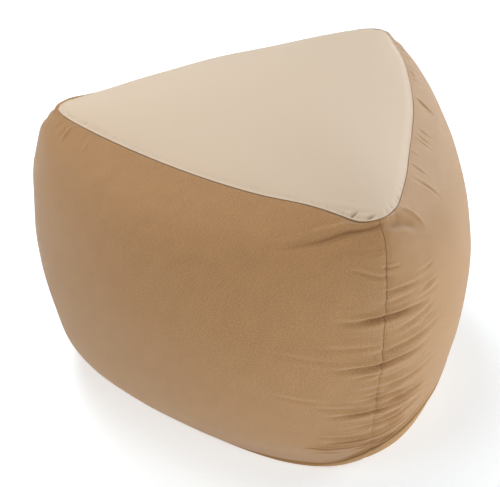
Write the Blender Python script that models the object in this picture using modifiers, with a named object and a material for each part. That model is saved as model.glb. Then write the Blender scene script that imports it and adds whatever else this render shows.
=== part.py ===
"""A triangular bead-filled floor cushion: a filled body whose pale crowned top is bowed along
three sides, three darker side panels sewn round it and a base panel under it.

Metres, +Z up. The origin is on the floor under the middle of the cushion. Directions are angles
round +Z from +X: the side panels face -90 (front), 30 (right) and 150 degrees (back left), and
the corners stand at 210 (left), 330 (front right) and 90 degrees (back). A place on the outside is
given by its direction and its level: 1 is the top seam, 0 the foot of the wall, and below that the
cloth rounds under to the flat that rests on the floor.
"""

from collections import namedtuple

import bpy
import numpy as np

SIDE_FACES = np.radians([-90.0, 30.0, 150.0])
CORNERS = np.radians([210.0, 330.0, 90.0])

# The wall's sections, evenly spaced along its run from its foot to the top seam
Section = namedtuple("Section", "height side bow corner")
SECTIONS = (
    # side is the distance from the axis to a side's middle, bow the radius of that side's arc,
    # and corner how sharply the arcs meet: 2 is a soft round, 10 a tight one
    Section(0.022, 0.268, 1.62, 2.40),
    Section(0.050, 0.2845, 1.29, 2.55),
    Section(0.090, 0.303, 1.07, 2.60),
    Section(0.160, 0.318, 0.97, 2.70),
    Section(0.250, 0.319, 0.865, 3.30),
    Section(0.340, 0.297, 0.91, 3.95),
    Section(0.405, 0.262, 0.945, 6.05),
    Section(0.450, 0.205, 1.345, 10.8),
)
WALL_RUN = 0.475  # from the wall's foot up to the top seam, along the cloth
MEAN_REACH = 0.34  # from the axis to the wall, for widths measured along it

# The cushion slumps a little: how far its middle stands off the axis at the base, halfway, on top
Lean = namedtuple("Lean", "level x y")
LEANS = (Lean(0.0, -0.008, 0.017), Lean(0.5, -0.0025, -0.0045), Lean(1.0, 0.006, -0.0095))

SIDE_PULLS = (-0.002, 0.001, -0.0025)  # how far each side's top edge stands out from the table's

# How much higher the top seam stands round these directions, and over how many degrees that fades
Lift = namedtuple("Lift", "direction rise spread")
LIFTS = (
    Lift(210, -0.002, 32),
    Lift(330, -0.001, 32),
    Lift(90, 0.020, 32),
    Lift(146, 0.0078, 28),
    Lift(197, -0.0058, 9),
)

CROWN = 0.036  # rise of the top panel's middle over its seam
CROWN_FULLNESS = 2.3  # 2 is a bowl, more is flatter in the middle and steeper at the seam
SEAM_ROLL = 0.003  # how far the top swells up again just inside its seam
ROLL_WIDTH = 0.012

# Round the base: the level of the base seam, which the slump has raised at the right, and the size
# of the flat that rests on the floor, as a share of the outline of the wall's foot
Base = namedtuple("Base", "direction seam flat")
BASE = (
    Base(-180, -0.034, 0.889),
    Base(-120, -0.036, 0.896),
    Base(-90, -0.036, 0.899),
    Base(-70, -0.029, 0.905),
    Base(-57, -0.012, 0.920),
    Base(-48, 0.006, 0.933),
    Base(-42, 0.014, 0.938),
    Base(-38, 0.044, 0.938),
    Base(-34, 0.108, 0.932),
    Base(-30, 0.153, 0.922),
    Base(-25, 0.200, 0.905),
    Base(-19, 0.236, 0.888),
    Base(-12, 0.275, 0.874),
    Base(0, 0.290, 0.870),
    Base(18, 0.260, 0.872),
    Base(38, 0.170, 0.876),
    Base(58, 0.070, 0.880),
    Base(78, -0.005, 0.884),
    Base(100, -0.030, 0.886),
    Base(140, -0.034, 0.888),
    Base(180, -0.034, 0.889),
)
UNDER_RUN = 0.0366  # from the wall's foot round under to the flat, along the cloth
FLAT_LEVEL = -UNDER_RUN / WALL_RUN
ROUNDNESS = 0.03  # how strongly the cloth rounds under: more holds it longer to the wall's slope

SHEET = 0.0018  # cloth of the side panels and the base
GAP = 0.0003  # between pieces that touch
SEAM_GAP = 0.0005  # between the side panels' edges, whose inner faces lean towards each other
LIP = 0.0015  # edge of the top panel that shows over the side panels

# Sewn channels: how deep the cloth is drawn in at a seam and how far that spreads to each side
Channel = namedtuple("Channel", "depth width")
TOP_CHANNEL = Channel(0.0025, 0.007)
BASE_CHANNEL = Channel(0.0015, 0.008)
CORNER_CHANNEL = Channel(0.0015, 0.005)

# The main folds: a trough with a ridge above it, on a curve from one direction to another through
# three levels
Fold = namedtuple("Fold", "name start end from_level middle_level to_level trough ridge width")
FOLDS = (
    Fold("tuck under the front right corner", -52, -12, 0.875, 0.978, 0.885, 0.0044, 0.0, 0.0095),
    Fold("band under the tuck", -46, -18, 0.835, 0.845, 0.80, 0.0022, 0.0016, 0.012),
    Fold("first corner fold", -48, -8, 0.683, 0.682, 0.668, 0.0042, 0.0032, 0.0095),
    Fold("second corner fold", -50, -8, 0.625, 0.607, 0.580, 0.0030, 0.0024, 0.0090),
    Fold("third corner fold", -60, -6, 0.582, 0.550, 0.552, 0.0042, 0.0030, 0.0095),
    Fold("fold past the seam", -33, -10, 0.455, 0.452, 0.440, 0.0024, 0.0022, 0.0095),
    Fold("long lower fold", -60, -4, 0.475, 0.398, 0.318, 0.0042, 0.0032, 0.0110),
    Fold("low fold", -46, -14, 0.315, 0.300, 0.300, 0.0028, 0.0022, 0.0110),
    Fold("fold over the base", -54, -20, 0.222, 0.240, 0.240, 0.0028, 0.0020, 0.0120),
    Fold("pull from the right seam", -12, 16, 1.03, 0.90, 0.80, 0.0024, 0.0018, 0.010),
    Fold("pull beside it", 2, 34, 1.04, 0.925, 0.85, 0.0024, 0.0018, 0.010),
    Fold("pull near the back corner", 40, 66, 0.88, 0.935, 1.02, 0.0026, 0.0018, 0.010),
    Fold("pull near the left corner", 190, 226, 0.86, 0.93, 0.86, 0.0022, 0.0018, 0.011),
)
FOLD_FADE = 0.38  # share of a fold's length over which it dies away at each end
UNDER_FADE = 0.4  # all relief dies away from this share of the way under to the flat
RIDGE_RISE = 1.5  # how far a fold's ridge is above its trough, in widths

# Where the mesh has its columns, in degrees to each side of a corner, and its rows up to a level
COLUMNS_AT_FOLDS = (0, 1.2, 3, 6, 10, 14, 19, 25, 33, 45)
COLUMNS_ELSEWHERE = (0, 2.5, 6, 11, 18, 28, 42)
HALF_PANEL = 60
FOLDED_CORNER = 1  # the front right one, in the list of corners
Stretch = namedtuple("Stretch", "level rows")
STRETCHES = (
    Stretch(0.02, 1),
    Stretch(0.18, 4),
    Stretch(0.46, 12),
    Stretch(0.74, 13),
    Stretch(0.90, 5),
    Stretch(0.98, 4),
    Stretch(1.0, 2),
)
SQUEEZED = 0.45  # the rows below this level draw together towards the base seam
CROWN_ROWS = (0.18, 0.36, 0.53, 0.68, 0.80, 0.89, 0.95, 0.98)
BASE_ROWS = (0, 0.10, 0.21, 0.34, 0.52, 0.75, 1)  # shares of the way from the flat to the base seam
BASE_FLAT_ROWS = (0.33, 0.66)

Finish = namedtuple("Finish", "name color roughness")
TOP_CLOTH = Finish("pale top cloth", (0.70, 0.575, 0.475), 0.85)
SIDE_CLOTH = Finish("brown side cloth", (0.38, 0.235, 0.135), 0.88)
BASE_CLOTH = Finish("brown base cloth", (0.33, 0.20, 0.11), 0.9)

STEP = 1e-4  # for slopes worked out from two nearby points


def clear_scene():
    for obj in list(bpy.data.objects):
        bpy.data.objects.remove(obj, do_unlink=True)


def column(table, name):
    """One named column of a table as an array."""
    return np.array([getattr(row, name) for row in table], float)


def through(stations, values, at):
    """Smooth curve through the stations: cubic pieces that share their slopes where they meet."""
    slopes = np.gradient(values, stations)
    left = np.clip(np.searchsorted(stations, at, side="right") - 1, 0, len(stations) - 2)
    step = stations[left + 1] - stations[left]
    u = (at - stations[left]) / step
    v = 1 - u
    value = values[left] * (1 + 2 * u) * v**2 + values[left + 1] * (1 + 2 * v) * u**2
    return value + step * u * v * (slopes[left] * v - slopes[left + 1] * u)


def bump(distance, width):
    """Bell of height 1 that has died away about two widths from its middle."""
    return np.exp(-((distance / width) ** 2))


def turn(direction, other):
    """Signed angle from one direction to another, within half a turn."""
    return np.angle(np.exp(1j * (direction - other)))


def middle(level):
    """Where the cushion's middle stands, at a level."""
    levels = column(LEANS, "level")
    return through(levels, column(LEANS, "x"), level), through(levels, column(LEANS, "y"), level)


def round_base(name, direction):
    """A value from the table round the base."""
    return through(np.radians(column(BASE, "direction")), column(BASE, name), turn(direction, 0))


def reach(direction, level):
    """Distance from the cushion's middle to its smooth wall: three arcs, one for each side,
    blended by a power mean whose power sets how sharp the corners between them are."""
    stations = np.linspace(0, 1, len(SECTIONS))
    side = through(stations, column(SECTIONS, "side"), level)
    bow = through(stations, column(SECTIONS, "bow"), level)
    power = through(stations, column(SECTIONS, "corner"), level)
    total = 0
    for face, pull in zip(SIDE_FACES, SIDE_PULLS):
        back = bow - (side + pull * level**3)
        along = back * np.cos(direction - face)
        across = back * np.sin(direction - face)
        total = total + (np.sqrt(bow**2 - across**2) - along) ** -power
    return total ** (-1 / power)


def smooth_wall(direction, level):
    """The wall before its seams and folds, from level 0 up."""
    radius = reach(direction, level)
    x, y = middle(level)
    height = through(np.linspace(0, 1, len(SECTIONS)), column(SECTIONS, "height"), level)
    for lift in LIFTS:
        away = turn(direction, np.radians(lift.direction))
        height = height + lift.rise * bump(away, np.radians(lift.spread)) * level**4
    return np.stack([radius * np.cos(direction) + x, radius * np.sin(direction) + y, height], -1)


def smooth_underside(direction, share):
    """The cloth that rounds under, from the wall's foot, at 0, to the flat, at 1: a cubic curve
    that leaves along the wall's slope and lands level."""
    foot = smooth_wall(direction, np.zeros_like(direction))
    above = smooth_wall(direction, np.full_like(direction, STEP))
    down = (foot - above) / np.linalg.norm(foot - above, axis=-1, keepdims=True)
    x, y = middle(0.0)
    to_middle = np.array([x, y, 0]) - foot * [1, 1, 0]
    flat = foot * [1, 1, 0] + to_middle * (1 - round_base("flat", direction))[..., None]
    level_in = to_middle / np.linalg.norm(to_middle, axis=-1, keepdims=True)
    u = share[..., None]
    v = 1 - u
    curve = foot * (1 + 2 * u) * v**2 + flat * (1 + 2 * v) * u**2
    return curve + ROUNDNESS * u * v * (down * v - level_in * u)


def smooth_skin(direction, level):
    """The whole outside below the top seam before its seams and folds: the wall, and under its
    foot the cloth that rounds under to the flat."""
    direction, level = np.broadcast_arrays(direction, level)
    under = smooth_underside(direction, np.maximum(level / FLAT_LEVEL, 0))
    return np.where(level[..., None] < 0, under, smooth_wall(direction, np.maximum(level, 0)))


def fold_relief(fold, direction, level):
    """Out or in from the smooth wall: a bell for the trough and one above it for the ridge,
    both faded smoothly towards the fold's ends."""
    start, end = np.radians([fold.start, fold.end])
    place = 0.5 + turn(direction, (start + end) / 2) / (end - start)
    levels = np.array([fold.from_level, fold.middle_level, fold.to_level])
    above = (level - through(np.array([0, 0.5, 1]), levels, place)) * WALL_RUN
    trough = fold.trough * bump(above, fold.width)
    ridge = fold.ridge * bump(above - RIDGE_RISE * fold.width, fold.width)
    fade = np.clip(np.minimum(place, 1 - place) / FOLD_FADE, 0, 1)
    return (ridge - trough) * fade**2 * (3 - 2 * fade)


def relief(direction, level):
    """How far the cloth stands out from its smooth run: the sewn channels and the folds. The flat
    has none."""
    height = -TOP_CHANNEL.depth * bump((1 - level) * WALL_RUN, TOP_CHANNEL.width)
    from_seam = (level - round_base("seam", direction)) * WALL_RUN
    height = height - BASE_CHANNEL.depth * bump(from_seam, BASE_CHANNEL.width)
    for corner in CORNERS:
        across = turn(direction, corner) * MEAN_REACH
        height = height - CORNER_CHANNEL.depth * bump(across, CORNER_CHANNEL.width)
    for fold in FOLDS:
        height = height + fold_relief(fold, direction, level)
    off_flat = np.clip((level / FLAT_LEVEL - 1) / (UNDER_FADE - 1), 0, 1)
    return height * off_flat**2 * (3 - 2 * off_flat)


def outward(surface, a, b):
    """Unit normals of a surface of two parameters, which points out where a turns to the left
    and b goes up the outside."""
    along_a = surface(a + STEP, b) - surface(a - STEP, b)
    along_b = surface(a, b + STEP) - surface(a, b - STEP)
    normal = np.cross(along_a, along_b)
    return normal / np.linalg.norm(normal, axis=-1, keepdims=True)


def skin(direction, level):
    """The outside of the side panels and of the base panel's turned-up edge."""
    normal = outward(smooth_skin, direction, level)
    return smooth_skin(direction, level) + normal * relief(direction, level)[..., None]


def crown(direction, share):
    """The top panel: straight rays from its middle to its seam that rise as a crown, with a small
    roll of cloth just inside the seam."""
    rim = skin(direction, np.ones_like(direction))
    x, y = middle(np.ones_like(direction))
    centre = np.stack([x, y], -1)
    flat = centre + (rim[..., :2] - centre) * share[..., None]
    from_seam = (1 - share) * np.linalg.norm(rim[..., :2] - centre, axis=-1)
    rise = CROWN * (1 - share**CROWN_FULLNESS) + SEAM_ROLL * (1 - bump(from_seam, ROLL_WIDTH))
    height = rim[..., 2] * share**2 + SECTIONS[-1].height * (1 - share**2) + rise
    return np.concatenate([flat, height[..., None]], -1)


def inside(directions, levels, depth):
    """A ring that lies this far inside the skin."""
    return skin(directions, levels) - depth * outward(skin, directions, levels)


def panel_directions(number):
    """Directions of a side panel's columns, from its left seam to its right one, half a seam gap
    off each. Columns are closest together near the corner that has the folds."""
    from_left, from_right = (
        COLUMNS_AT_FOLDS if corner == FOLDED_CORNER else COLUMNS_ELSEWHERE
        for corner in (number, number + 1)
    )
    across = [*from_left, HALF_PANEL, *(2 * HALF_PANEL - column for column in from_right[::-1])]
    directions = CORNERS[number] + np.radians(across)
    half_gap = SEAM_GAP / 2 / MEAN_REACH
    directions[0] += half_gap
    directions[-1] -= half_gap
    return directions


def wall_levels(directions):
    """Levels of the side panels' rows, closest together at the folds. The lower rows draw together
    towards the base seam, which the first one follows."""
    rows = [0.0]
    for stretch in STRETCHES:
        rows += list(np.linspace(rows[-1], stretch.level, stretch.rows + 1)[1:])
    rows = np.array(rows)[:, None]
    return rows + round_base("seam", directions) * np.maximum(1 - rows / SQUEEZED, 0)


def base_levels(directions):
    """Levels of the base panel's rows, from the flat up to the base seam."""
    seam = round_base("seam", directions)
    return FLAT_LEVEL + (seam - FLAT_LEVEL) * np.array(BASE_ROWS)[:, None]


def band_faces(rows, columns, closed):
    """Triangles between neighbouring rings, each ring above the one before it."""
    row = np.arange(rows - 1)[:, None] * columns
    step = np.arange(columns if closed else columns - 1)
    here, there = row + step, row + (step + 1) % columns
    lower = np.stack([here, there, there + columns], -1).reshape(-1, 3)
    upper = np.stack([here, there + columns, here + columns], -1).reshape(-1, 3)
    return np.concatenate([lower, upper])


def fan_faces(hub, first, columns, facing_up):
    """Triangles from a ring to a point in its middle."""
    ring = first + np.arange(columns)
    ahead = first + (np.arange(columns) + 1) % columns
    hubs = np.full(columns, hub)
    return np.stack([ring, ahead, hubs] if facing_up else [ahead, ring, hubs], -1)


def make_object(name, points, faces, finish, collection):
    mesh = bpy.data.meshes.new(name)
    mesh.from_pydata(points.reshape(-1, 3).tolist(), [], faces.tolist())
    mesh.validate()
    mesh.shade_smooth()
    mesh.materials.append(cloth(finish))
    obj = bpy.data.objects.new(name, mesh)
    collection.objects.link(obj)
    return obj


def cloth(finish):
    """A plain woven or knitted cloth."""
    material = bpy.data.materials.get(finish.name) or bpy.data.materials.new(finish.name)
    material.use_nodes = True
    shader = material.node_tree.nodes["Principled BSDF"]
    shader.inputs["Base Color"].default_value = (*finish.color, 1)
    shader.inputs["Roughness"].default_value = finish.roughness
    shader.inputs["Metallic"].default_value = 0
    return material


def thicken(obj):
    """Gives an open sheet its thickness, inwards from the face that shows."""
    solidify = obj.modifiers.new("Thickness", "SOLIDIFY")
    solidify.thickness = SHEET
    solidify.offset = -1


def make_side_panel(name, number, collection):
    directions = panel_directions(number)
    levels = wall_levels(directions)
    levels[0] += GAP / WALL_RUN
    levels[-1] -= (LIP + GAP) / WALL_RUN
    points = skin(directions, levels)
    faces = band_faces(*levels.shape, closed=False)
    thicken(make_object(name, points, faces, SIDE_CLOTH, collection))


def all_directions():
    """The columns of all three side panels, with one column at each corner."""
    panels = [panel_directions(number)[:-1] for number in range(3)]
    for panel, corner in zip(panels, CORNERS):
        panel[0] = corner
    return np.concatenate(panels)


def make_base_panel(collection):
    """A flat sheet with a turned-up edge."""
    directions = all_directions()
    levels = base_levels(directions)
    levels[-1] -= GAP / WALL_RUN
    rings = list(skin(directions, levels))
    x, y = middle(0.0)
    centre = np.array([x, y, 0.0])
    rings = [centre + (rings[0] - centre) * share for share in BASE_FLAT_ROWS] + rings
    points = np.concatenate([*rings, centre[None, :]])
    columns = len(directions)
    faces = band_faces(len(rings), columns, closed=True)
    hub = fan_faces(len(points) - 1, 0, columns, facing_up=False)
    thicken(make_object("base_panel", points, np.concatenate([faces, hub]), BASE_CLOTH, collection))


def make_filled_body(collection):
    """The filled solid: closed rings from its flat bottom up inside the side panels, out over
    their top edges as the lip of the top panel, and in over the crown."""
    directions = all_directions()
    depth = SHEET + GAP
    x, y = middle(0.0)
    bottom = np.array([x, y, depth])
    under_lip = np.full((1, len(directions)), 1 - LIP / WALL_RUN)
    levels = [base_levels(directions), wall_levels(directions)[1:-1], under_lip]
    rings = list(inside(directions, np.concatenate(levels), depth))
    rings = [bottom + (rings[0] - bottom) * share for share in BASE_FLAT_ROWS] + rings
    rings.append(skin(directions, under_lip[0]))
    rings.append(crown(directions, np.ones_like(directions)))
    rings += [crown(directions, np.full_like(directions, share)) for share in CROWN_ROWS[::-1]]
    peak = crown(directions[:1], np.zeros(1))
    points = np.concatenate([*rings, bottom[None, :], peak])
    columns = len(directions)
    faces = [
        band_faces(len(rings), columns, closed=True),
        fan_faces(len(points) - 2, 0, columns, facing_up=False),
        fan_faces(len(points) - 1, (len(rings) - 1) * columns, columns, facing_up=True),
    ]
    make_object("filled_body", points, np.concatenate(faces), TOP_CLOTH, collection)


def main():
    clear_scene()
    collection = bpy.data.collections.new("triangular_bead_cushion")
    bpy.context.scene.collection.children.link(collection)
    make_filled_body(collection)
    for number, name in enumerate(("front", "right", "back_left")):
        make_side_panel(f"side_panel_{name}", number, collection)
    make_base_panel(collection)


if __name__ == "__main__":
    main()
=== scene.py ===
"""Triangular bead-filled floor cushion: a pale crowned top panel bowed along three sides, three
brown side panels sewn round it, folded at the front right corner, and a base panel.

Metres, +Z up. The origin is on the floor under the middle of the cushion. Directions are angles
round +Z from +X: the side panels face -90 (front), 30 (right) and 150 degrees (back left), and
the corners stand at 210 (left), 330 (front right) and 90 degrees (back). A place on the outside is
given by its direction and its level: 1 is the top seam, 0 the foot of the wall, and below that the
cloth rounds under to the flat that rests on the floor.
"""

from collections import namedtuple

import bpy
import numpy as np
from bpy.props import FloatProperty, FloatVectorProperty, PointerProperty
from bpy.types import Operator, Panel, PropertyGroup
from mathutils import Matrix, Vector


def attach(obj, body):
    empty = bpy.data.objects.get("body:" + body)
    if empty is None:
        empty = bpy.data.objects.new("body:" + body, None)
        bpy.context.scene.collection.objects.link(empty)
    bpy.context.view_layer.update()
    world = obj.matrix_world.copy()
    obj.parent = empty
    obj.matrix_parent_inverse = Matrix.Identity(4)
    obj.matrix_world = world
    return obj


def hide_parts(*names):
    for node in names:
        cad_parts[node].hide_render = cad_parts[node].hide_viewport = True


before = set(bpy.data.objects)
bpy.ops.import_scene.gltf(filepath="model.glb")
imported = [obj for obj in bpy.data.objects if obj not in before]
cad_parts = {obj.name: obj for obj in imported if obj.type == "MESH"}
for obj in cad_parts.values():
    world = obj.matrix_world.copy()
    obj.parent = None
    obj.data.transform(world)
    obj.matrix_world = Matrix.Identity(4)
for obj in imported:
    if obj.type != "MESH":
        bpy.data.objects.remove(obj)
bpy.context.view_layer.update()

bl_info = {
    "name": "Triangular bead cushion",
    "version": (1, 0, 0),
    "blender": (4, 5, 0),
    "location": "3D View > Sidebar > Cushion",
    "description": "Builds a triangular bead-filled floor cushion in two cloths",
    "category": "Object",
}

SIDE_FACES = np.radians([-90.0, 30.0, 150.0])
CORNERS = np.radians([210.0, 330.0, 90.0])
LEFT, FRONT_RIGHT, BACK = range(3)

# The wall's sections, evenly spaced along its run from its foot to the top seam
Section = namedtuple("Section", "height side bow corner")
SECTIONS = (
    # side is the distance from the axis to a side's middle, bow the radius of that side's arc,
    # and corner how sharply the arcs meet: 2 is a soft round, 10 a tight one
    Section(0.022, 0.268, 1.62, 2.40),
    Section(0.050, 0.2845, 1.29, 2.55),
    Section(0.090, 0.303, 1.07, 2.60),
    Section(0.160, 0.318, 0.97, 2.70),
    Section(0.250, 0.319, 0.865, 3.30),
    Section(0.340, 0.297, 0.91, 3.95),
    Section(0.405, 0.262, 0.945, 6.05),
    Section(0.450, 0.205, 1.345, 10.8),
)
WALL_RUN = 0.475  # from the wall's foot up to the top seam, along the cloth

# The cushion slumps a little: how far its middle stands off the axis at the base, halfway, on top
Lean = namedtuple("Lean", "x y")
LEANS = (Lean(-0.008, 0.017), Lean(-0.0025, -0.0045), Lean(0.006, -0.0095))

SIDE_PULLS = (-0.002, 0.001, -0.0025)  # how far each side's top edge stands out from the table's

# How much higher the top seam stands round these directions, and over how many degrees that fades
Lift = namedtuple("Lift", "direction rise spread")
LIFTS = (
    Lift(210, -0.002, 32),
    Lift(330, -0.001, 32),
    Lift(90, 0.020, 32),
    Lift(146, 0.0078, 28),
    Lift(197, -0.0058, 9),
)

CROWN = 0.0374  # rise of the top panel's middle over its seam
CROWN_FULLNESS = 2.3  # 2 is a bowl, more is flatter in the middle and steeper at the seam
SEAM_ROLL = 0.0016  # how far the top swells up again just inside its seam
ROLL_WIDTH = 0.008  # and how wide that swelling is
DOME_WAVES = 19  # how many waves round the rim the dome can follow
FULL_WAVES = 7  # and how many its crown
DOME_REACH = 0.3  # length in which the dome's terms count a distance from the axis

# Round the base: the level of the base seam, which the slump has raised at the right, and the size
# of the flat that rests on the floor, as a share of the outline of the wall's foot
Base = namedtuple("Base", "direction seam flat")
BASE = (
    Base(-180, -0.034, 0.889),
    Base(-120, -0.036, 0.896),
    Base(-90, -0.036, 0.899),
    Base(-70, -0.029, 0.905),
    Base(-57, -0.012, 0.920),
    Base(-48, 0.006, 0.933),
    Base(-42, 0.014, 0.938),
    Base(-38, 0.044, 0.938),
    Base(-34, 0.108, 0.932),
    Base(-30, 0.153, 0.922),
    Base(-25, 0.200, 0.905),
    Base(-19, 0.236, 0.888),
    Base(-12, 0.275, 0.874),
    Base(0, 0.290, 0.870),
    Base(18, 0.260, 0.872),
    Base(38, 0.170, 0.876),
    Base(58, 0.070, 0.880),
    Base(78, -0.005, 0.884),
    Base(100, -0.030, 0.886),
    Base(140, -0.034, 0.888),
    Base(180, -0.034, 0.889),
)
UNDER_RUN = 0.0366  # from the wall's foot round under to the flat, along the cloth
FLAT_LEVEL = -UNDER_RUN / WALL_RUN
ROUNDNESS = 0.03  # how strongly the cloth rounds under: more holds it longer to the wall's slope

# Sewn channels: how deep the cloth is drawn in at a seam and how far that spreads to each side
Channel = namedtuple("Channel", "depth width")
TOP_CHANNEL = Channel(0.0010, 0.006)
BASE_CHANNEL = Channel(0.0016, 0.0048)
CORNER_CHANNEL = Channel(0.0009, 0.004)
OVERHANG = Channel(0.0032, 0.0075)  # the base cloth's step under the loose side cloth
PINCH = 0.9  # how much deeper the top seam's channel is where the tuck pulls it in
GAP_REACH = 0.0016  # how far the shade under the loose side cloth shows above the base seam, and
GAP_OPENS = 0.007  # how much farther where the gap is widest
LINE_WIDENS = 1.6  # how much wider the top seam's painted shade line is there, and how much darker
LINE_DARKENS = 5

# Where the loose cloth rolls out at the base seam, how wide, and by what share of the setting
Roll = namedtuple("Roll", "place width share")
ROLLS = (Roll(0.006, 0.005, 1), Roll(-0.015, 0.007, 0.8))

# Shade in the depths of the seams and folds: how strong, and how far from the seam or how deep
Shade = namedtuple("Shade", "strength reach")
TOP_SHADE = Shade(0.13, 0.0007)
BASE_SHADE = Shade(0.92, 0.0150)
CORNER_SHADE = Shade(0.24, 0.0009)
FOLD_SHADE = Shade(0.36, 0.0080)
PUCKER_SHADE = Shade(0.45, 0.0017)
SHADE_COLOR = (0.150, 0.066, 0.016)
STREAK = 0.0015  # length of the streaks of lighter and darker fibres
STREAK_SHARE = 0.65  # their share of the cloth's unevenness, of which the rest is fuzz
CLOUD_SHARE = 0.08  # how far the clouds shift it to both sides

# Stretches of a seam: their middle, in degrees, and over how many degrees they fade
Patch = namedtuple("Patch", "direction spread")
PINCHED = Patch(-38, 6)  # the tuck pulls the top seam in
GAPING = Patch(-35, 6)  # the top seam's painted shade line and the painted shade in the gap over the base seam are widest
LOOSE = Patch(-24, 26)  # the side cloth hangs loose over the base seam

# How far the top seam has been pulled out from the smooth wall and up, in millimetres
Shift = namedtuple("Shift", "direction out up")
SEAM_SHIFTS = (
    Shift(-180, 0, 0), Shift(-170, 0, 2.2), Shift(-163, 0, 3), Shift(-157, 0, 2.2),
    Shift(-152, 0, 1.6), Shift(-147, 0, 0.4), Shift(-140, 0, 0), Shift(-60, 0, 0),
    Shift(-40, 0, 4), Shift(-37, 0, 1.5), Shift(-35, 0, -1.8), Shift(-32.5, 0, -1.8),
    Shift(-30.5, 0.6, 1.6), Shift(-28, 0.8, 2.2), Shift(-25, 0.5, 0), Shift(-22.5, 3, 0),
    Shift(-17, 2.4, 0), Shift(-8, 1.6, 0), Shift(0, 0, 0), Shift(21, 1.2, 0), Shift(42, 4.2, 0),
    Shift(60, 3.6, 0), Shift(74, 0, 0), Shift(79, -4.5, 0), Shift(84, -7.5, 0), Shift(89, -3, 0),
    Shift(94, 0.5, 0), Shift(102, 0, 0), Shift(180, 0, 0),
)
SHIFT_SPREAD = 0.030  # how far down the wall they reach

LIP = 0.0007  # edge of the top panel that shows over the side panels
SEAM_GAP = 0.0003  # between two sewn edges
ALLOWANCE = 0.005  # cloth turned in past a seam
BODY_DEPTH = 0.011  # how deep the filled body's hidden part lies under the wall

# Creases: a line on the wall through (direction in degrees, level). fold is how deep the cloth is
# pinched in along it, puffed up on both sides; rise lifts the line itself as a soft ridge, or
# sinks it as a trough when negative. The rows below give both and the width in millimetres.
Crease = namedtuple("Crease", "fold rise width path")


def fold_ridge(depth, rise, width, *path):
    """A crease that is pinched in and rises or sinks, from millimetres."""
    return Crease(depth * 1e-3, rise * 1e-3, width * 1e-3, np.array(path, float))


def fold(depth, width, *path):
    """A crease that is only pinched in."""
    return fold_ridge(depth, 0, width, *path)


def ridge(rise, width, *path):
    """A crease that only rises, or sinks when negative."""
    return fold_ridge(0, rise, width, *path)


TUCK = (
    # the arch over the seam at the front right corner, the roll above it and the hollow, then the
    # outer ridge and what lies under the arch
    fold_ridge(3.4, -1.1, 3.6, (-60, 0.845), (-48, 0.888), (-43.5, 0.912), (-39.8, 0.937),
               (-35, 0.969), (-31.5, 0.983), (-27.5, 0.984), (-24.8, 0.976), (-21.5, 0.948),
               (-19, 0.915)),
    ridge(3.6, 3.2, (-52, 0.9), (-46, 0.925), (-42, 0.946), (-39.2, 0.961), (-36.8, 0.976),
          (-34.8, 0.987), (-32.8, 0.993), (-30.5, 0.995), (-27, 0.996), (-22, 0.996)),
    ridge(-6.2, 6.6, (-36, 0.955), (-31, 0.97), (-27.5, 0.968), (-24.5, 0.96), (-22, 0.94),
          (-20, 0.915), (-18, 0.885), (-16, 0.845)),
    ridge(4, 3, (-24.5, 1), (-21.2, 0.98), (-19.2, 0.955), (-17.8, 0.93), (-16.8, 0.908),
          (-15.6, 0.88), (-14.4, 0.85)),
    ridge(-1.6, 7, (-42, 0.876), (-37, 0.898), (-33, 0.905), (-28.5, 0.902), (-24.5, 0.878)),
    ridge(-0.9, 2.2, (-37, 0.945), (-38.4, 0.904), (-39.4, 0.862), (-40.4, 0.79)),
    fold(1.8, 2.4, (-33.5, 0.839), (-29.2, 0.825), (-25, 0.819)),
    fold(2.2, 3, (-39.5, 0.842), (-36, 0.826), (-32.2, 0.803), (-26, 0.787)),
)
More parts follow.
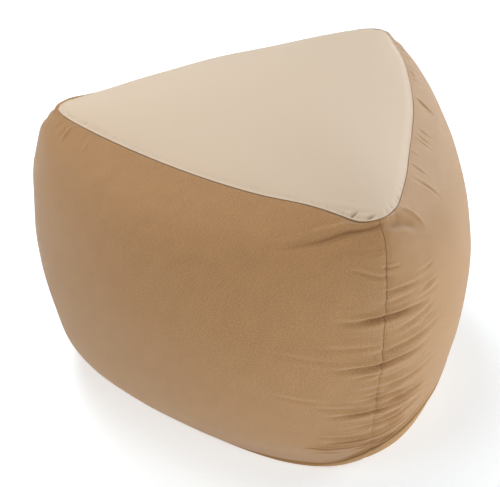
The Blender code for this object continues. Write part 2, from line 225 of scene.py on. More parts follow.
CORNER_FOLDS = (
    # from the top down
    fold(1.3, 2.2, (-21, 0.767), (-17.2, 0.766), (-13.5, 0.77)),
    fold(3, 2.6, (-34, 0.751), (-28.7, 0.749), (-23.8, 0.747), (-18, 0.739)),
    fold(2, 2.4, (-34, 0.716), (-27, 0.716), (-20.5, 0.719)),
    fold(2.7, 2.4, (-21.5, 0.711), (-17.5, 0.713), (-13.3, 0.713)),
    fold(1.8, 2.4, (-24.5, 0.692), (-18.2, 0.688), (-12, 0.689)),
    fold(8.2, 2.8, (-43, 0.682), (-36.7, 0.675), (-31.6, 0.675), (-26.6, 0.675), (-21.5, 0.673),
         (-15, 0.669)),
    fold(2.1, 2.6, (-32.5, 0.635), (-26.9, 0.635), (-22.1, 0.641), (-17.3, 0.65), (-11.5, 0.662)),
    fold(1.2, 2.2, (-21, 0.623), (-17.6, 0.628), (-14, 0.628)),
    fold(1, 2.2, (-27, 0.613), (-22.5, 0.618), (-18, 0.613)),
    fold(1.6, 2.6, (-47.5, 0.615), (-41.1, 0.612), (-36.4, 0.609), (-31.7, 0.605), (-26, 0.602)),
    fold(4.2, 2.8, (-37.5, 0.592), (-31.6, 0.586), (-26.3, 0.588), (-21, 0.59), (-15.6, 0.596),
         (-9.5, 0.606)),
    fold(0.9, 2.6, (-59, 0.596), (-50.4, 0.592), (-45.5, 0.585), (-40.6, 0.578), (-34.5, 0.567)),
    fold(7.8, 2.8, (-43.5, 0.556), (-37, 0.552), (-31.8, 0.549), (-26.5, 0.552), (-21.2, 0.552),
         (-14.5, 0.564)),
    fold(2.6, 2.4, (-37, 0.527), (-33.1, 0.526), (-29.5, 0.525)),
    fold(2.3, 2.6, (-37, 0.513), (-31.6, 0.51), (-27.2, 0.508), (-22.9, 0.51), (-18, 0.513)),
    fold(4, 2.8, (-38.5, 0.488), (-32.4, 0.482), (-27, 0.477), (-21.5, 0.478), (-16.1, 0.485),
         (-9.8, 0.504)),
    fold(1.2, 2.6, (-56, 0.48), (-47, 0.465), (-39.8, 0.452)),
    fold(3, 2.4, (-34.3, 0.465), (-30.5, 0.461), (-26.8, 0.462)),
    fold(4.2, 2.6, (-36.8, 0.447), (-31.1, 0.444), (-26.4, 0.443), (-20.5, 0.446)),
    fold(1.2, 2.6, (-46.5, 0.448), (-39.6, 0.432), (-33, 0.424)),
    fold(6.2, 2.6, (-29, 0.417), (-25.2, 0.42), (-22, 0.421), (-18.4, 0.418), (-13, 0.423)),
    fold(10, 2.7, (-43.5, 0.405), (-37.3, 0.4), (-32.7, 0.399), (-28, 0.398), (-23.3, 0.395),
         (-18.7, 0.395), (-12.5, 0.392)),
    fold(2.1, 2.6, (-34, 0.36), (-28.3, 0.358), (-23.7, 0.361), (-18, 0.374)),
    fold(4, 2.8, (-39.5, 0.344), (-32.9, 0.34), (-27.8, 0.335), (-22.7, 0.337), (-17.6, 0.352),
         (-11.5, 0.369)),
    fold(2.8, 2.6, (-29, 0.301), (-23.6, 0.307), (-18.5, 0.314)),
    fold(1.5, 2.6, (-45.5, 0.319), (-38.1, 0.305), (-31, 0.3)),
    fold(8.6, 2.6, (-43.5, 0.275), (-37.4, 0.272), (-32.5, 0.274), (-27.5, 0.273), (-22.6, 0.281),
         (-17, 0.298)),
    fold(7.6, 2.5, (-48.5, 0.25), (-41.3, 0.237), (-35.9, 0.232), (-31, 0.231), (-26.5, 0.236)),
    fold(7.6, 2.4, (-36, 0.186), (-28.4, 0.209), (-22, 0.24)),
    fold(1.9, 2.6, (-46, 0.198), (-41.1, 0.191), (-36.5, 0.187)),
)
RIGHT_PULLS = (
    fold(1.4, 2.1, (-9.4, 1), (-5.9, 0.954), (-3.4, 0.912), (-1.7, 0.875), (-0.4, 0.825)),
    fold(1.6, 2.1, (-2, 1), (-1, 0.975), (0, 0.952), (0.8, 0.92)),
    ridge(1.3, 2.6, (6.6, 1), (7.3, 0.98), (8.6, 0.955)),
    fold(0.9, 2, (17.4, 0.998), (17.5, 0.955), (18, 0.905)),
    fold(1.1, 2, (20.4, 0.998), (20.7, 0.96), (21, 0.9)),
    fold(1.2, 2, (25.4, 0.985), (25.6, 0.955), (26, 0.915)),
    fold(2.4, 2.2, (48.6, 1), (48.1, 0.975), (47.2, 0.95), (45.9, 0.917), (44, 0.88)),
    fold(1.1, 2.1, (62.6, 0.998), (61.9, 0.972), (60.6, 0.94)),
    fold(1.6, 2.1, (66.4, 0.998), (65.4, 0.975), (64, 0.945)),
    fold(1.1, 2.1, (70.2, 0.998), (69, 0.975), (67.6, 0.95)),
    fold(1, 2.4, (76.2, 1), (75, 0.975), (73.6, 0.945)),
    fold(1, 2.4, (80.6, 1), (79.2, 0.98), (77.6, 0.95)),
    ridge(1.6, 2.6, (84.6, 1), (83.4, 0.982), (82, 0.955)),
)
LEFT_CREASES = (
    fold(1.4, 2.2, (-141.2, 1), (-139.6, 0.96), (-138.2, 0.925)),
    ridge(2.2, 2.3, (-140, 0.997), (-139, 0.972), (-138.1, 0.95), (-136.2, 0.91)),
    ridge(1.5, 2.4, (-143.9, 1), (-143.4, 0.975), (-142.4, 0.94)),
    ridge(1.4, 2.4, (-132.4, 0.992), (-131.4, 0.972), (-130, 0.95), (-127.8, 0.908)),
    ridge(-1.2, 6, (-158, 0.955), (-150, 0.972), (-144.5, 0.95), (-141, 0.915)),
    # the roll that stands up past the left corner, and the hollow under it
    ridge(4.2, 4.2, (-144.5, 0.99), (-149.5, 0.988), (-153, 0.985), (-156.5, 0.984), (-160, 0.986),
          (-165, 0.99)),
    ridge(1.8, 4, (-154, 0.992), (-161, 0.992), (-168, 0.993), (-175, 0.994)),
    ridge(-3, 2.4, (-148.6, 1), (-148.3, 0.985), (-147.8, 0.965)),
    ridge(-2.4, 9, (-144, 0.94), (-151, 0.925), (-156, 0.905), (-162, 0.87)),
    fold(1.6, 3, (-170, 0.74), (-160, 0.752), (-149, 0.75), (-139, 0.735)),
    fold(1.3, 3, (-172, 0.6), (-161, 0.59), (-152, 0.585), (-141, 0.573)),
    fold(1.5, 3.2, (-170, 0.4), (-160, 0.405), (-152, 0.395), (-142, 0.383)),
    fold(1.2, 3.2, (-168, 0.25), (-158, 0.245), (-149, 0.24)),
)
BACK_CREASES = (
    ridge(4.6, 4.5, (81, 0.985), (90, 0.987), (95.5, 0.987), (103, 0.988)),
    ridge(2.4, 8, (70, 0.955), (78, 0.96), (84, 0.958), (92, 0.95)),
    ridge(-1.5, 6, (80, 0.935), (86, 0.965), (93, 0.972), (100, 0.945), (105, 0.91)),
    fold(2, 3, (76, 0.712), (86, 0.725), (95, 0.72), (106, 0.698)),
    fold(1.7, 3, (78, 0.588), (88, 0.575), (97, 0.58), (108, 0.563)),
    fold(2.2, 3.2, (74, 0.422), (86, 0.43), (95, 0.42), (107, 0.398)),
    fold(1.4, 3.2, (78, 0.272), (89, 0.262), (100, 0.269)),
    fold(0.9, 2.6, (82, 0.65), (91, 0.648), (100, 0.655)),
    fold(0.9, 2.6, (83, 0.5), (91, 0.505), (99, 0.498)),
)
CREASES = {
    LEFT: LEFT_CREASES,
    FRONT_RIGHT: TUCK + CORNER_FOLDS + RIGHT_PULLS,
    BACK: BACK_CREASES,
}

# Creases in the top panel, through (direction in degrees, millimetres in from the seam)
TOP_CREASES = {
    FRONT_RIGHT: (
        fold(2.5, 1.3, (-36.8, -5), (-36, 0.5), (-35.5, 2.5), (-34.8, 6.5), (-33.8, 11.5),
             (-32.6, 16.5)),
        fold(2.5, 1.2, (-33.9, -4), (-33, 0.5), (-32.2, 2.8), (-31.4, 5.2), (-30.2, 7),
             (-28.5, 7.5)),
        fold(1.2, 1.3, (-38.6, -4), (-37.8, 0.5), (-37, 4.5), (-36, 10)),
        fold(1.2, 1.2, (-31.4, -3), (-30.5, 0.8), (-29.5, 3), (-27.5, 4)),
        ridge(1.3, 2.2, (-34.6, -1), (-33.6, 3.5), (-32.8, 6.8), (-30.4, 11)),
        ridge(0.9, 2.2, (-37, 0), (-36.2, 4.5), (-35.2, 10), (-34.2, 15)),
        ridge(0.9, 6, (-42, 8), (-38, 15), (-33.5, 21), (-26, 17)),
        ridge(-0.7, 3, (-40, 7), (-37, 11), (-33, 14.5), (-27, 16)),
    ),
    LEFT: (
        ridge(-0.7, 2, (-143.5, 2.5), (-144.8, 7), (-147, 11)),
        ridge(-0.6, 2, (-136.5, 2), (-137.8, 6), (-139.4, 9)),
        ridge(-0.5, 2, (-133, 2), (-134.2, 5), (-135.6, 8)),
    ),
    BACK: (
        ridge(-0.7, 2.2, (86, 2.5), (87, 7), (88.6, 11)),
        ridge(-0.6, 2.2, (95.5, 2.5), (94, 7), (92.4, 11)),
    ),
}
# Where the cloth puffs up over and under a fold, in its widths, and how high against its depth
Puff = namedtuple("Puff", "place height")
PUFFS = (Puff(2.2, 0.45), Puff(-2.4, 0.25))
PUFF_WIDTH = 1.3
CREASE_FADE = 0.5  # share of a crease's length over which it dies away at each end
SWELL = 0.12  # share by which a crease is deeper and shallower along its run
SWELL_RUN = 0.043  # from one deeper place to the next
CREASE_EDGE = 5  # widths from a crease past which it does nothing
HOLD = Channel(0.75, 0.005)  # share by which the stitches hold the creases down, and how far
UNDER_FADE = 0.4  # all relief dies away from this share of the way under to the flat
PATH_STEPS = 28  # straight pieces that a crease's curve is measured by

WRINKLES = 90  # short and fine, scattered over the loose cloth at the front right corner
WRINKLE_LEVELS = (0.20, 0.93)  # from the least to the most, like those below
WRINKLE_HALVES = (0.008, 0.024)  # half of a wrinkle's length
WRINKLE_DEPTHS = (0.15e-3, 0.5e-3)
WRINKLE_WIDTHS = (1.4e-3, 2.1e-3)
SLACK_WAVES = 16
SLACK_LENGTHS = (0.06, 0.20)
GATHER_WAVES = (61, 83, 109, 149, 181, 227, 263)  # how many of each go round a seam
GATHER_CORNER = np.radians(16)  # how far round from a corner they are deeper
WRINKLE_SEED, SLACK_SEED, GATHER_SEED = 41, 7, 19
FULL_TURN = 2 * np.pi
STEP = 1e-4  # for slopes worked out from two nearby points
TAPE_MARKS = 721  # marks on a tape laid round the wall, with one at its middle
TAPE_HEIGHTS = 41  # heights at which it is laid

SIDE_PANELS = ("front", "right", "back_left")
# Spacing of a panel's columns, in millimetres, from each of these directions on, in degrees past
# the panel's left seam, and of its rows from each share of the way up on
Spacing = namedtuple("Spacing", "start pitch")
COLUMNS = {
    "front": (Spacing(0, 1.6), Spacing(8, 1.7), Spacing(26, 3.6), Spacing(62, 3.4),
              Spacing(90, 2.4), Spacing(112, 1.9)),
    "right": (Spacing(0, 1.9), Spacing(14, 2.2), Spacing(19, 2.0), Spacing(58, 2.6),
              Spacing(74, 1.6), Spacing(82, 2.2), Spacing(93, 1.7), Spacing(113, 1.8)),
    "back_left": (Spacing(0, 1.8), Spacing(14, 3.4), Spacing(100, 2.4), Spacing(112, 1.8)),
}
ROWS = {
    "front": (Spacing(0, 2.8), Spacing(0.19, 1.3), Spacing(0.72, 1.35), Spacing(0.97, 1.0)),
    "right": (Spacing(0, 2.6), Spacing(0.19, 1.45), Spacing(0.70, 1.9), Spacing(0.97, 1.1)),
    "back_left": (Spacing(0, 3.2), Spacing(0.2, 2.1), Spacing(0.97, 1.3)),
}
SQUEEZED = 0.45  # the rows below this level draw together towards the base seam
PANEL_SPAN = 120.0  # degrees from a panel's left seam to its right one
COLUMN_REACH = 0.30  # from the axis to the wall, for the spacing of the columns
EDGE_REACH = 0.33  # from the axis to the corner seams, for their edges
CLEAR = 1.3  # widths of a sewn edge in which no other row or column stands
TOP_COLUMNS = 860
CORNER_CROWDING = 0.5  # how much closer than on average the rings' columns stand at the corners
BASE_COLUMNS = 480
HIDDEN_FLOOR = 0.006  # height of the filled body's hidden bottom
# Levels of the rings inside the panels, and how far out those over the hidden bottom lie
HIDDEN_LEVELS = np.concatenate([np.linspace(FLAT_LEVEL * 0.5, 0.9, 12), [0.95, 0.98]])
HIDDEN_SHARES = np.array([0.25, 0.5, 0.75, 0.95])
GATHER_SPREAD = 0.007  # how far the gathers of the top seam reach into the top panel
SIDE_GATHER_SPREAD = 0.008  # and into the side panels
TOP_INSETS = 0.030  # the rows nearest the seam are spaced by distance from it, up to this
EDGE_STEPS = 7  # rows in the round of a side or base panel's sewn edge
EDGE_RINGS = 12  # rings in that of the top panel
EDGE_PUFF = 0.0004  # how far that edge swells
EDGE_START = 0.75  # how far out its curve sets off from the crown, in widths of the edge
LIP_DEPTH, LIP_BULGE = 0.0020, 0.0008  # how deep it ends inside the seam, and how far it bulges
LIP_LEVELS = 0.004  # part of the wall under the seam that gives the way down
SEAM_ROWS = 20  # rows of the top panel up to TOP_INSETS from its seam
CROWN_ROWS = 62  # and from there to its middle
EDGE_FADE = 0.002  # the top's own relief starts over this distance from its sewn edge
TOP_SLACK_SPREAD = 0.02  # and its slack over this one
TOP_SLACK_SCALE = 0.8  # length of the sides' slack waves against the top's
BASE_ROWS = 26
FLAT_RINGS = 10
RIM_PLACES = 720  # places round the rim that the dome is fitted to
RIM_SKIP = 6  # one ray over the crown for so many of them
CROWN_RINGS = 12  # places on each ray
CROWN_WEIGHT = 0.6  # and how much they count against the rim's

# The stage: soft lights round the cushion, at angles in degrees, with their setting for the power
WARM, COOL = (1.0, 0.95, 0.86), (0.92, 0.975, 1.0)
Light = namedtuple("Light", "name power azimuth elevation tint")
LIGHTS = (
    Light("key light", "key", 155, 52, (0.89, 0.965, 1.0)),
    Light("overhead light", "overhead", -140, 76, WARM),
    Light("left light", "left", -104, 34, WARM),
    Light("right light", "right", -8, 4, COOL),
    Light("far right light", "far_right", 52, 1, COOL),
)
LIGHT_DISTANCE = 2.6
LIGHT_WIDTH = 1.2
LIT_HEIGHT = 0.25  # height of the place that the lights face
FLOOR_WIDTH = 18.0
AIM_RIGHT = -0.03249  # where the camera looks, to the right of the cushion's axis and up
AIM_HEIGHT = 0.21419
CAMERA_ROLL = 0.00478
LENS = 89.60  # in millimetres, as on a film 36 mm wide


def column(table, name):
    """One named column of a table as an array."""
    return np.array([getattr(row, name) for row in table], float)


def through(stations, values, at):
    """Smooth curve through the stations: cubic pieces that share their slopes where they meet."""
    slopes = np.gradient(values, stations)
    left = np.clip(np.searchsorted(stations, at, side="right") - 1, 0, len(stations) - 2)
    step = stations[left + 1] - stations[left]
    u = (at - stations[left]) / step
    v = 1 - u
    value = values[left] * (1 + 2 * u) * v**2 + values[left + 1] * (1 + 2 * v) * u**2
    return value + step * u * v * (slopes[left] * v - slopes[left + 1] * u)


def bump(distance, width):
    """Bell of height 1 that has died away about two widths from its middle."""
    return np.exp(-((distance / width) ** 2))


def turn(direction, other):
    """Signed angle from one direction to another, within half a turn."""
    return np.angle(np.exp(1j * (direction - other)))


def near(direction, patch):
    """Share of a patch's effect that reaches a direction."""
    return bump(turn(direction, np.radians(patch.direction)), np.radians(patch.spread))


def unit(vectors):
    """The same ways, with length 1."""
    return vectors / np.linalg.norm(vectors, axis=-1, keepdims=True)


def up_wall(table, name, level):
    """A value from a table whose rows are evenly spaced from level 0 to 1."""
    return through(np.linspace(0, 1, len(table)), column(table, name), level)


def all_round(table, name, direction):
    """A value from a table whose rows go once round the cushion."""
    return through(np.radians(column(table, "direction")), column(table, name), turn(direction, 0))


def middle(level):
    """Where the cushion's middle stands, at a level."""
    return up_wall(LEANS, "x", level), up_wall(LEANS, "y", level)


def reach(direction, level):
    """Distance from the cushion's middle to its smooth wall: three arcs, one for each side,
    blended by a power mean whose power sets how sharp the corners between them are."""
    side, bow, power = (up_wall(SECTIONS, name, level) for name in ("side", "bow", "corner"))
    total = 0
    for face, pull in zip(SIDE_FACES, SIDE_PULLS):
        back = bow - (side + pull * level**3)
        along = back * np.cos(direction - face)
        across = back * np.sin(direction - face)
        total = total + (np.sqrt(bow**2 - across**2) - along) ** -power
    return total ** (-1 / power)


def smooth_wall(direction, level):
    """The wall before its seams and folds, from level 0 up."""
    radius = reach(direction, level)
    x, y = middle(level)
    height = up_wall(SECTIONS, "height", level)
    for lift in LIFTS:
        height = height + lift.rise * near(direction, lift) * level**4
    return np.stack([radius * np.cos(direction) + x, radius * np.sin(direction) + y, height], -1)


def smooth_underside(direction, share):
    """The cloth that rounds under, from the wall's foot, at 0, to the flat, at 1: a cubic curve
    that leaves along the wall's slope and lands level."""
    foot = smooth_wall(direction, np.zeros_like(direction))
    above = smooth_wall(direction, np.full_like(direction, STEP))
    down = unit(foot - above)
    x, y = middle(0.0)
    to_middle = np.array([x, y, 0]) - foot * [1, 1, 0]
    flat = foot * [1, 1, 0] + to_middle * (1 - all_round(BASE, "flat", direction))[..., None]
    level_in = unit(to_middle)
    u = share[..., None]
    v = 1 - u
    curve = foot * (1 + 2 * u) * v**2 + flat * (1 + 2 * v) * u**2
    return curve + ROUNDNESS * u * v * (down * v - level_in * u)


def smooth_skin(direction, level):
    """The whole outside below the top seam before its seams and folds: the wall, and under its
    foot the cloth that rounds under to the flat."""
    direction, level = np.broadcast_arrays(direction, level)
    under = smooth_underside(direction, np.maximum(level / FLAT_LEVEL, 0))
    return np.where(level[..., None] < 0, under, smooth_wall(direction, np.maximum(level, 0)))


def drawn_skin(direction, level):
    """The smooth skin with its top seam pulled to where the sewing holds it: out and up by the
    table of shifts, which fades down the wall."""
    direction, level = np.broadcast_arrays(direction, level)
    fade = 1e-3 * bump((1 - level) * WALL_RUN, SHIFT_SPREAD)
    out, up = (fade * all_round(SEAM_SHIFTS, name, direction) for name in ("out", "up"))
    return smooth_skin(direction, level) + np.stack(
        [out * np.cos(direction), out * np.sin(direction), up], -1
    )


def outward(surface, a, b):
    """Unit normals of a surface of two parameters, which points out where a turns to the left
    and b goes up the outside."""
    along_a = surface(a + STEP, b) - surface(a - STEP, b)
    along_b = surface(a, b + STEP) - surface(a, b - STEP)
    return unit(np.cross(along_a, along_b))


def tape_from(corner):
    """A tape laid level round the wall from a corner's seam, at many heights: the directions and
    heights it was read at, and the lengths of cloth from the seam."""
    angles = np.linspace(-np.pi, np.pi, TAPE_MARKS)
    ups = np.linspace(0, 1, TAPE_HEIGHTS)
    rings = smooth_skin(corner + angles, ups[:, None])
    lengths = np.cumsum(np.linalg.norm(np.diff(rings, axis=1), axis=-1), axis=1)
    lengths = np.concatenate([np.zeros((len(ups), 1)), lengths], axis=1)
    return angles, ups, lengths - lengths[:, [TAPE_MARKS // 2]]


def read_tape(tape, angle, up):
    """Length of cloth from the seam to a place, read between the tape's four nearest marks."""
    angles, ups, lengths = tape
    column_at = (angle - angles[0]) / (angles[1] - angles[0])
    row_at = np.clip(up, 0, 1) * (len(ups) - 1)
    left = np.clip(column_at.astype(int), 0, len(angles) - 2)
    below = np.clip(row_at.astype(int), 0, len(ups) - 2)
    a = column_at - left
    b = row_at - below
    low = lengths[below, left] * (1 - a) + lengths[below, left + 1] * a
    high = lengths[below + 1, left] * (1 - a) + lengths[below + 1, left + 1] * a
    return low * (1 - b) + high * b


TAPES = [tape_from(corner) for corner in CORNERS]


def crease_path(crease, corner):
    """A crease's curve on the flat cloth: metres from the corner's seam, and up the wall."""
    directions, levels = crease.path.T
    angles = turn(np.radians(directions), CORNERS[corner])
    return np.stack([read_tape(TAPES[corner], angles, levels), levels * WALL_RUN], -1)


def top_crease_path(crease, corner):
    """The same for a crease in the top panel: metres from the corner, and in from the seam."""
    directions, insets = crease.path.T
    angles = turn(np.radians(directions), CORNERS[corner])
    along = read_tape(TAPES[corner], angles, np.ones(len(angles)))
    return np.stack([-along, insets * 1e-3], -1)


def crease_height(places, points, depth, rise, width):
    """Height that a crease gives the cloth at many places, from their distance x, in widths, to
    its curve, more than 0 on its left: a fold is a narrow trough with a puff of cloth on both
    sides, a rise a bell, and both fade towards the curve's ends."""
    steps = np.linalg.norm(np.diff(points, axis=0), axis=1)
    stations = np.concatenate([[0], np.cumsum(steps)])
    at = np.linspace(0, stations[-1], PATH_STEPS + 1)
    curve = np.stack([through(stations, points[:, axis], at) for axis in (0, 1)], -1)
    low = curve.min(0) - CREASE_EDGE * width
    high = curve.max(0) + CREASE_EDGE * width
    inside = ((places > low) & (places < high)).all(-1)
    height = np.zeros(len(places))
    spots = places[inside]
    nearest = np.full(len(spots), np.inf)
    side = np.zeros(len(spots))
    along = np.zeros(len(spots))
    for number in range(PATH_STEPS):
        start = curve[number]
        way = curve[number + 1] - start
        share = np.clip((spots - start) @ way / (way @ way), 0, 1)
        gap = spots - start - share[:, None] * way
        distance = np.linalg.norm(gap, axis=1)
        closer = distance < nearest
        nearest = np.where(closer, distance, nearest)
        side = np.where(closer, np.sign(way[0] * gap[:, 1] - way[1] * gap[:, 0]), side)
        along = np.where(closer, (number + share) / PATH_STEPS, along)
    x = nearest * side / width
    fade = np.clip(np.minimum(along, 1 - along) / CREASE_FADE, 0, 1)
    fade = fade**2 * (3 - 2 * fade)
    first = 40 * points[0].sum()  # where the swells start differs from crease to crease
    swells = 1 + SWELL * np.cos(FULL_TURN * along * stations[-1] / SWELL_RUN + first)
    puffs = sum(puff.height * bump(x - puff.place, PUFF_WIDTH) for puff in PUFFS)
    height[inside] = (depth * (puffs - bump(x, 1.0)) + rise * bump(x, 1.0)) * fade * swells
    return height


def wrinkle_paths():
    """The fine wrinkles: short, nearly level curves, closest together beside the corner seam."""
    chance = np.random.default_rng(WRINKLE_SEED)
    for _ in range(WRINKLES):
        across = chance.normal(0.012, 0.050)
        up = chance.uniform(*WRINKLE_LEVELS) * WALL_RUN
        half = chance.uniform(*WRINKLE_HALVES)
        slope = chance.normal(0, 0.10) - 0.4 * across
        sag = chance.normal(0, 0.0015)
        points = np.array([
            [across - half, up - half * slope],
            [across, up + sag],
            [across + half, up + half * slope],
        ])
        yield points, chance.uniform(*WRINKLE_DEPTHS), 0, chance.uniform(*WRINKLE_WIDTHS)


def slack(points):
    """Slow unevenness of the loosely filled cloth: waves across space in fixed directions."""
    chance = np.random.default_rng(SLACK_SEED)
    height = np.zeros(points.shape[:-1])
    for _ in range(SLACK_WAVES):
        way = chance.normal(size=3)
        way *= FULL_TURN / chance.uniform(*SLACK_LENGTHS) / np.linalg.norm(way)
        height += np.cos(points @ way + chance.uniform(0, FULL_TURN))
    return height / SLACK_WAVES


def gathers(direction, size):
    """How far the cloth is drawn in along the top seam by its stitches: small uneven waves round
    the seam that grow towards the corners."""
    chance = np.random.default_rng(GATHER_SEED)
    height = np.zeros(np.shape(direction))
    for waves in GATHER_WAVES:
        height += np.cos(waves * direction + chance.uniform(0, FULL_TURN)) / len(GATHER_WAVES)
    near_corner = sum(bump(turn(direction, corner), GATHER_CORNER) for corner in CORNERS)
    return size * np.maximum(height + 0.1, 0) * (0.6 + 1.8 * near_corner)


def seam_relief(direction, level, sides):
    """How far the cloth stands out from the smooth skin along its top and base seams and through
    its slack, and how shaded it is there. The side cloth hangs a little over the base seam."""
    from_top = (1 - level) * WALL_RUN
    from_base = (level - all_round(BASE, "seam", direction)) * WALL_RUN
    gaping = near(direction, GAPING)
    loose = near(direction, LOOSE)
    drawn = 1 + PINCH * near(direction, PINCHED)
    height = -TOP_CHANNEL.depth * drawn * bump(from_top, TOP_CHANNEL.width)
    height = height - gathers(direction, sides.gather) * bump(from_top, SIDE_GATHER_SPREAD)
    height = height + sides.slack * slack(smooth_skin(direction, level))
    height = height - BASE_CHANNEL.depth * bump(from_base, BASE_CHANNEL.width)
    over = OVERHANG.depth * loose * bump(from_base, OVERHANG.width)
    height = height - np.where(from_base < 0, over, 0)
    # Painted shade in the gap over the base seam, stronger where the side cloth hangs loose
    gap = np.where(from_base < 0, BASE_SHADE.reach, GAP_REACH + GAP_OPENS * gaping)
    shade = BASE_SHADE.strength * (0.25 + 0.75 * loose) * bump(from_base, gap)
    # Painted shade along the top seam's line, wider and darker where it gapes
    line = bump(from_top - LIP, TOP_SHADE.reach * (1 + LINE_WIDENS * gaping))
    shade = np.maximum(shade, TOP_SHADE.strength * (1 + LINE_DARKENS * gaping) * line)
    for place, width, share in ROLLS:
        height = height + share * sides.roll * loose * bump(from_base - place, width)
    return height, shade


def relief(direction, level, sides):
    """How far the cloth stands out from the smooth skin: channels, gathers, creases, slack. The
    flat has none. Also how shaded the cloth is in the depths of its folds and seams."""
    height, shade = seam_relief(direction, level, sides)
    creased = np.zeros(direction.shape)
    for corner, group in CREASES.items():
        along = read_tape(TAPES[corner], turn(direction, CORNERS[corner]), level)
        height = height - CORNER_CHANNEL.depth * bump(along, CORNER_CHANNEL.width)
        # Painted shade along a corner seam's line, which fades towards the base
        sewn = CORNER_SHADE.strength * bump(along, CORNER_SHADE.reach)
        shade = np.maximum(shade, sewn * np.clip(3.0 * level - 0.9, 0.05, 1))
        places = np.stack([along, level * WALL_RUN], -1).reshape(-1, 2)
        curves = [
            (crease_path(row, corner), row.fold, row.rise, row.width * sides.fold_width)
            for row in group
        ]
        if corner == FRONT_RIGHT:
            curves += wrinkle_paths()
        for curve in curves:
            creased += crease_height(places, *curve).reshape(direction.shape)
    held = 1 - HOLD.depth * bump((1 - level) * WALL_RUN, HOLD.width)
    height = height + sides.fold_depth * creased * held
    # Painted shade in the troughs of the deeper folds
    deep = np.clip(-creased / FOLD_SHADE.reach, 0, 1)
    shade = np.maximum(shade, FOLD_SHADE.strength * deep**2)
    off_flat = np.clip((level / FLAT_LEVEL - 1) / (UNDER_FADE - 1), 0, 1)
    return height * off_flat**2 * (3 - 2 * off_flat), shade


def rounded(edge, radius):
    """How far a sewn edge has turned in, at a distance from its seam: a quarter of a circle."""
    return radius - np.sqrt(np.maximum(radius**2 - np.maximum(radius - edge, 0) ** 2, 0))


def edge_rows(radius):
    """Distances from a seam of the rows that carry the round of its edge."""
    angles = np.linspace(0, np.pi / 2, EDGE_STEPS)
    return radius * (1 - np.cos(angles))


def spaced(spacings, end, per_unit):
    """Places from 0 to the end whose spacing follows the table, in units of which one is
    per_unit metres long."""
    at = [0.0]
    while at[-1] < end:
        pitch = [spacing.pitch for spacing in spacings if spacing.start <= at[-1]][-1]
        at.append(at[-1] + pitch * 1e-3 / per_unit)
    at = np.array(at)
    return at * end / at[-1]


def grid_quads(rows, columns, closed=False):
    """Corner numbers of the four-sided faces between neighbouring rows of a grid."""
    row = np.arange(rows - 1)[:, None] * columns
    step = np.arange(columns if closed else columns - 1)
    here = row + step
    there = row + (step + 1) % columns
    return np.stack([here, there, there + columns, here + columns], -1).reshape(-1, 4)


def fan(hub, first, columns, facing_up):
    """Triangles from a ring to the point in its middle."""
    ring = first + np.arange(columns)
    ahead = first + (np.arange(columns) + 1) % columns
    hubs = np.full(columns, hub)
    return np.stack([ring, ahead, hubs] if facing_up else [ahead, ring, hubs], -1)


def place_object(name, data):
    """A new object in place of any earlier one of its name, so that an operator can run again."""
    old = bpy.data.objects.get(name)
    if old is not None:
        bpy.data.objects.remove(old, do_unlink=True)
    made = bpy.data.objects.new(name, data)
    bpy.context.scene.collection.objects.link(made)
    return made


def make_piece(name, points, faces, cloth_map, shade, material):
    """A mesh object from arrays: its points, its faces in groups of one size, where each point
    lies on the flat cloth, in metres, and how shaded it is."""
    corners = np.concatenate([group.reshape(-1) for group in faces]).astype(np.int32)
    sizes = np.concatenate([np.full(len(group), group.shape[1]) for group in faces])
    starts = np.concatenate([[0], np.cumsum(sizes)[:-1]]).astype(np.int32)
    mesh = bpy.data.meshes.new(name)
    mesh.vertices.add(len(points))
    mesh.vertices.foreach_set("co", points.astype(np.float32).reshape(-1))
    mesh.loops.add(len(corners))
    mesh.loops.foreach_set("vertex_index", corners)
    mesh.polygons.add(len(starts))
    mesh.polygons.foreach_set("loop_start", starts)
    mesh.update(calc_edges=True)
    mesh.validate()
    mesh.shade_smooth()
    layer = mesh.uv_layers.new(name="Cloth")
    layer.data.foreach_set("uv", cloth_map[corners].astype(np.float32).reshape(-1))
    shades = mesh.attributes.new("Shade", "FLOAT", "POINT")
    shades.data.foreach_set("value", shade.astype(np.float32))
    mesh.materials.append(material)
    piece = place_object(name, mesh)
    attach(piece, "root")
    return piece


# Materials


def new_material(name):
    """A material that takes the place of an earlier one, and its node tree."""
    old = bpy.data.materials.get(name)
    if old is not None:
        bpy.data.materials.remove(old)
    material = bpy.data.materials.new(name)
    material.use_nodes = True
    return material, material.node_tree


def fill_inputs(tree, node, inputs):
    """Links each of a node's inputs to a socket, or sets it to a plain value."""
    for name, value in inputs.items():
        if isinstance(value, bpy.types.NodeSocket):
            tree.links.new(value, node.inputs[name])
        else:
            node.inputs[name].default_value = value


def add_node(tree, kind, inputs=None, **settings):
    """A node with its settings made and its inputs linked or filled in."""
    node = tree.nodes.new(kind)
    for name, value in settings.items():
        setattr(node, name, value)
    fill_inputs(tree, node, inputs or {})
    return node


def maths(tree, operation, *values):
    """The result of a Math node, whose inputs are sockets or numbers."""
    node = add_node(tree, "ShaderNodeMath", dict(enumerate(values)), operation=operation)
    return node.outputs[0]


def new_group(name, size, outputs):
    """An empty node group with float outputs, whose inputs are a place and the size of one
    repeat. Also gives the place counted in repeats."""
    group = bpy.data.node_groups.new(name, "ShaderNodeTree")
    group.interface.new_socket("Vector", in_out="INPUT", socket_type="NodeSocketVector")
    socket = group.interface.new_socket(size, in_out="INPUT", socket_type="NodeSocketFloat")
    socket.default_value = 0.001
    for label in outputs:
        group.interface.new_socket(label, in_out="OUTPUT", socket_type="NodeSocketFloat")
    given = group.nodes.new("NodeGroupInput").outputs
    counted = add_node(
        group, "ShaderNodeVectorMath",
        {0: given["Vector"], "Scale": maths(group, "DIVIDE", 1.0, given[size])}, operation="SCALE",
    )
    return group, counted.outputs[0], group.nodes.new("NodeGroupOutput").inputs


def wave(tree, place):
    """One full swing between -1 and 1 for each repeat."""
    return maths(tree, "SINE", maths(tree, "MULTIPLY", place, FULL_TURN))


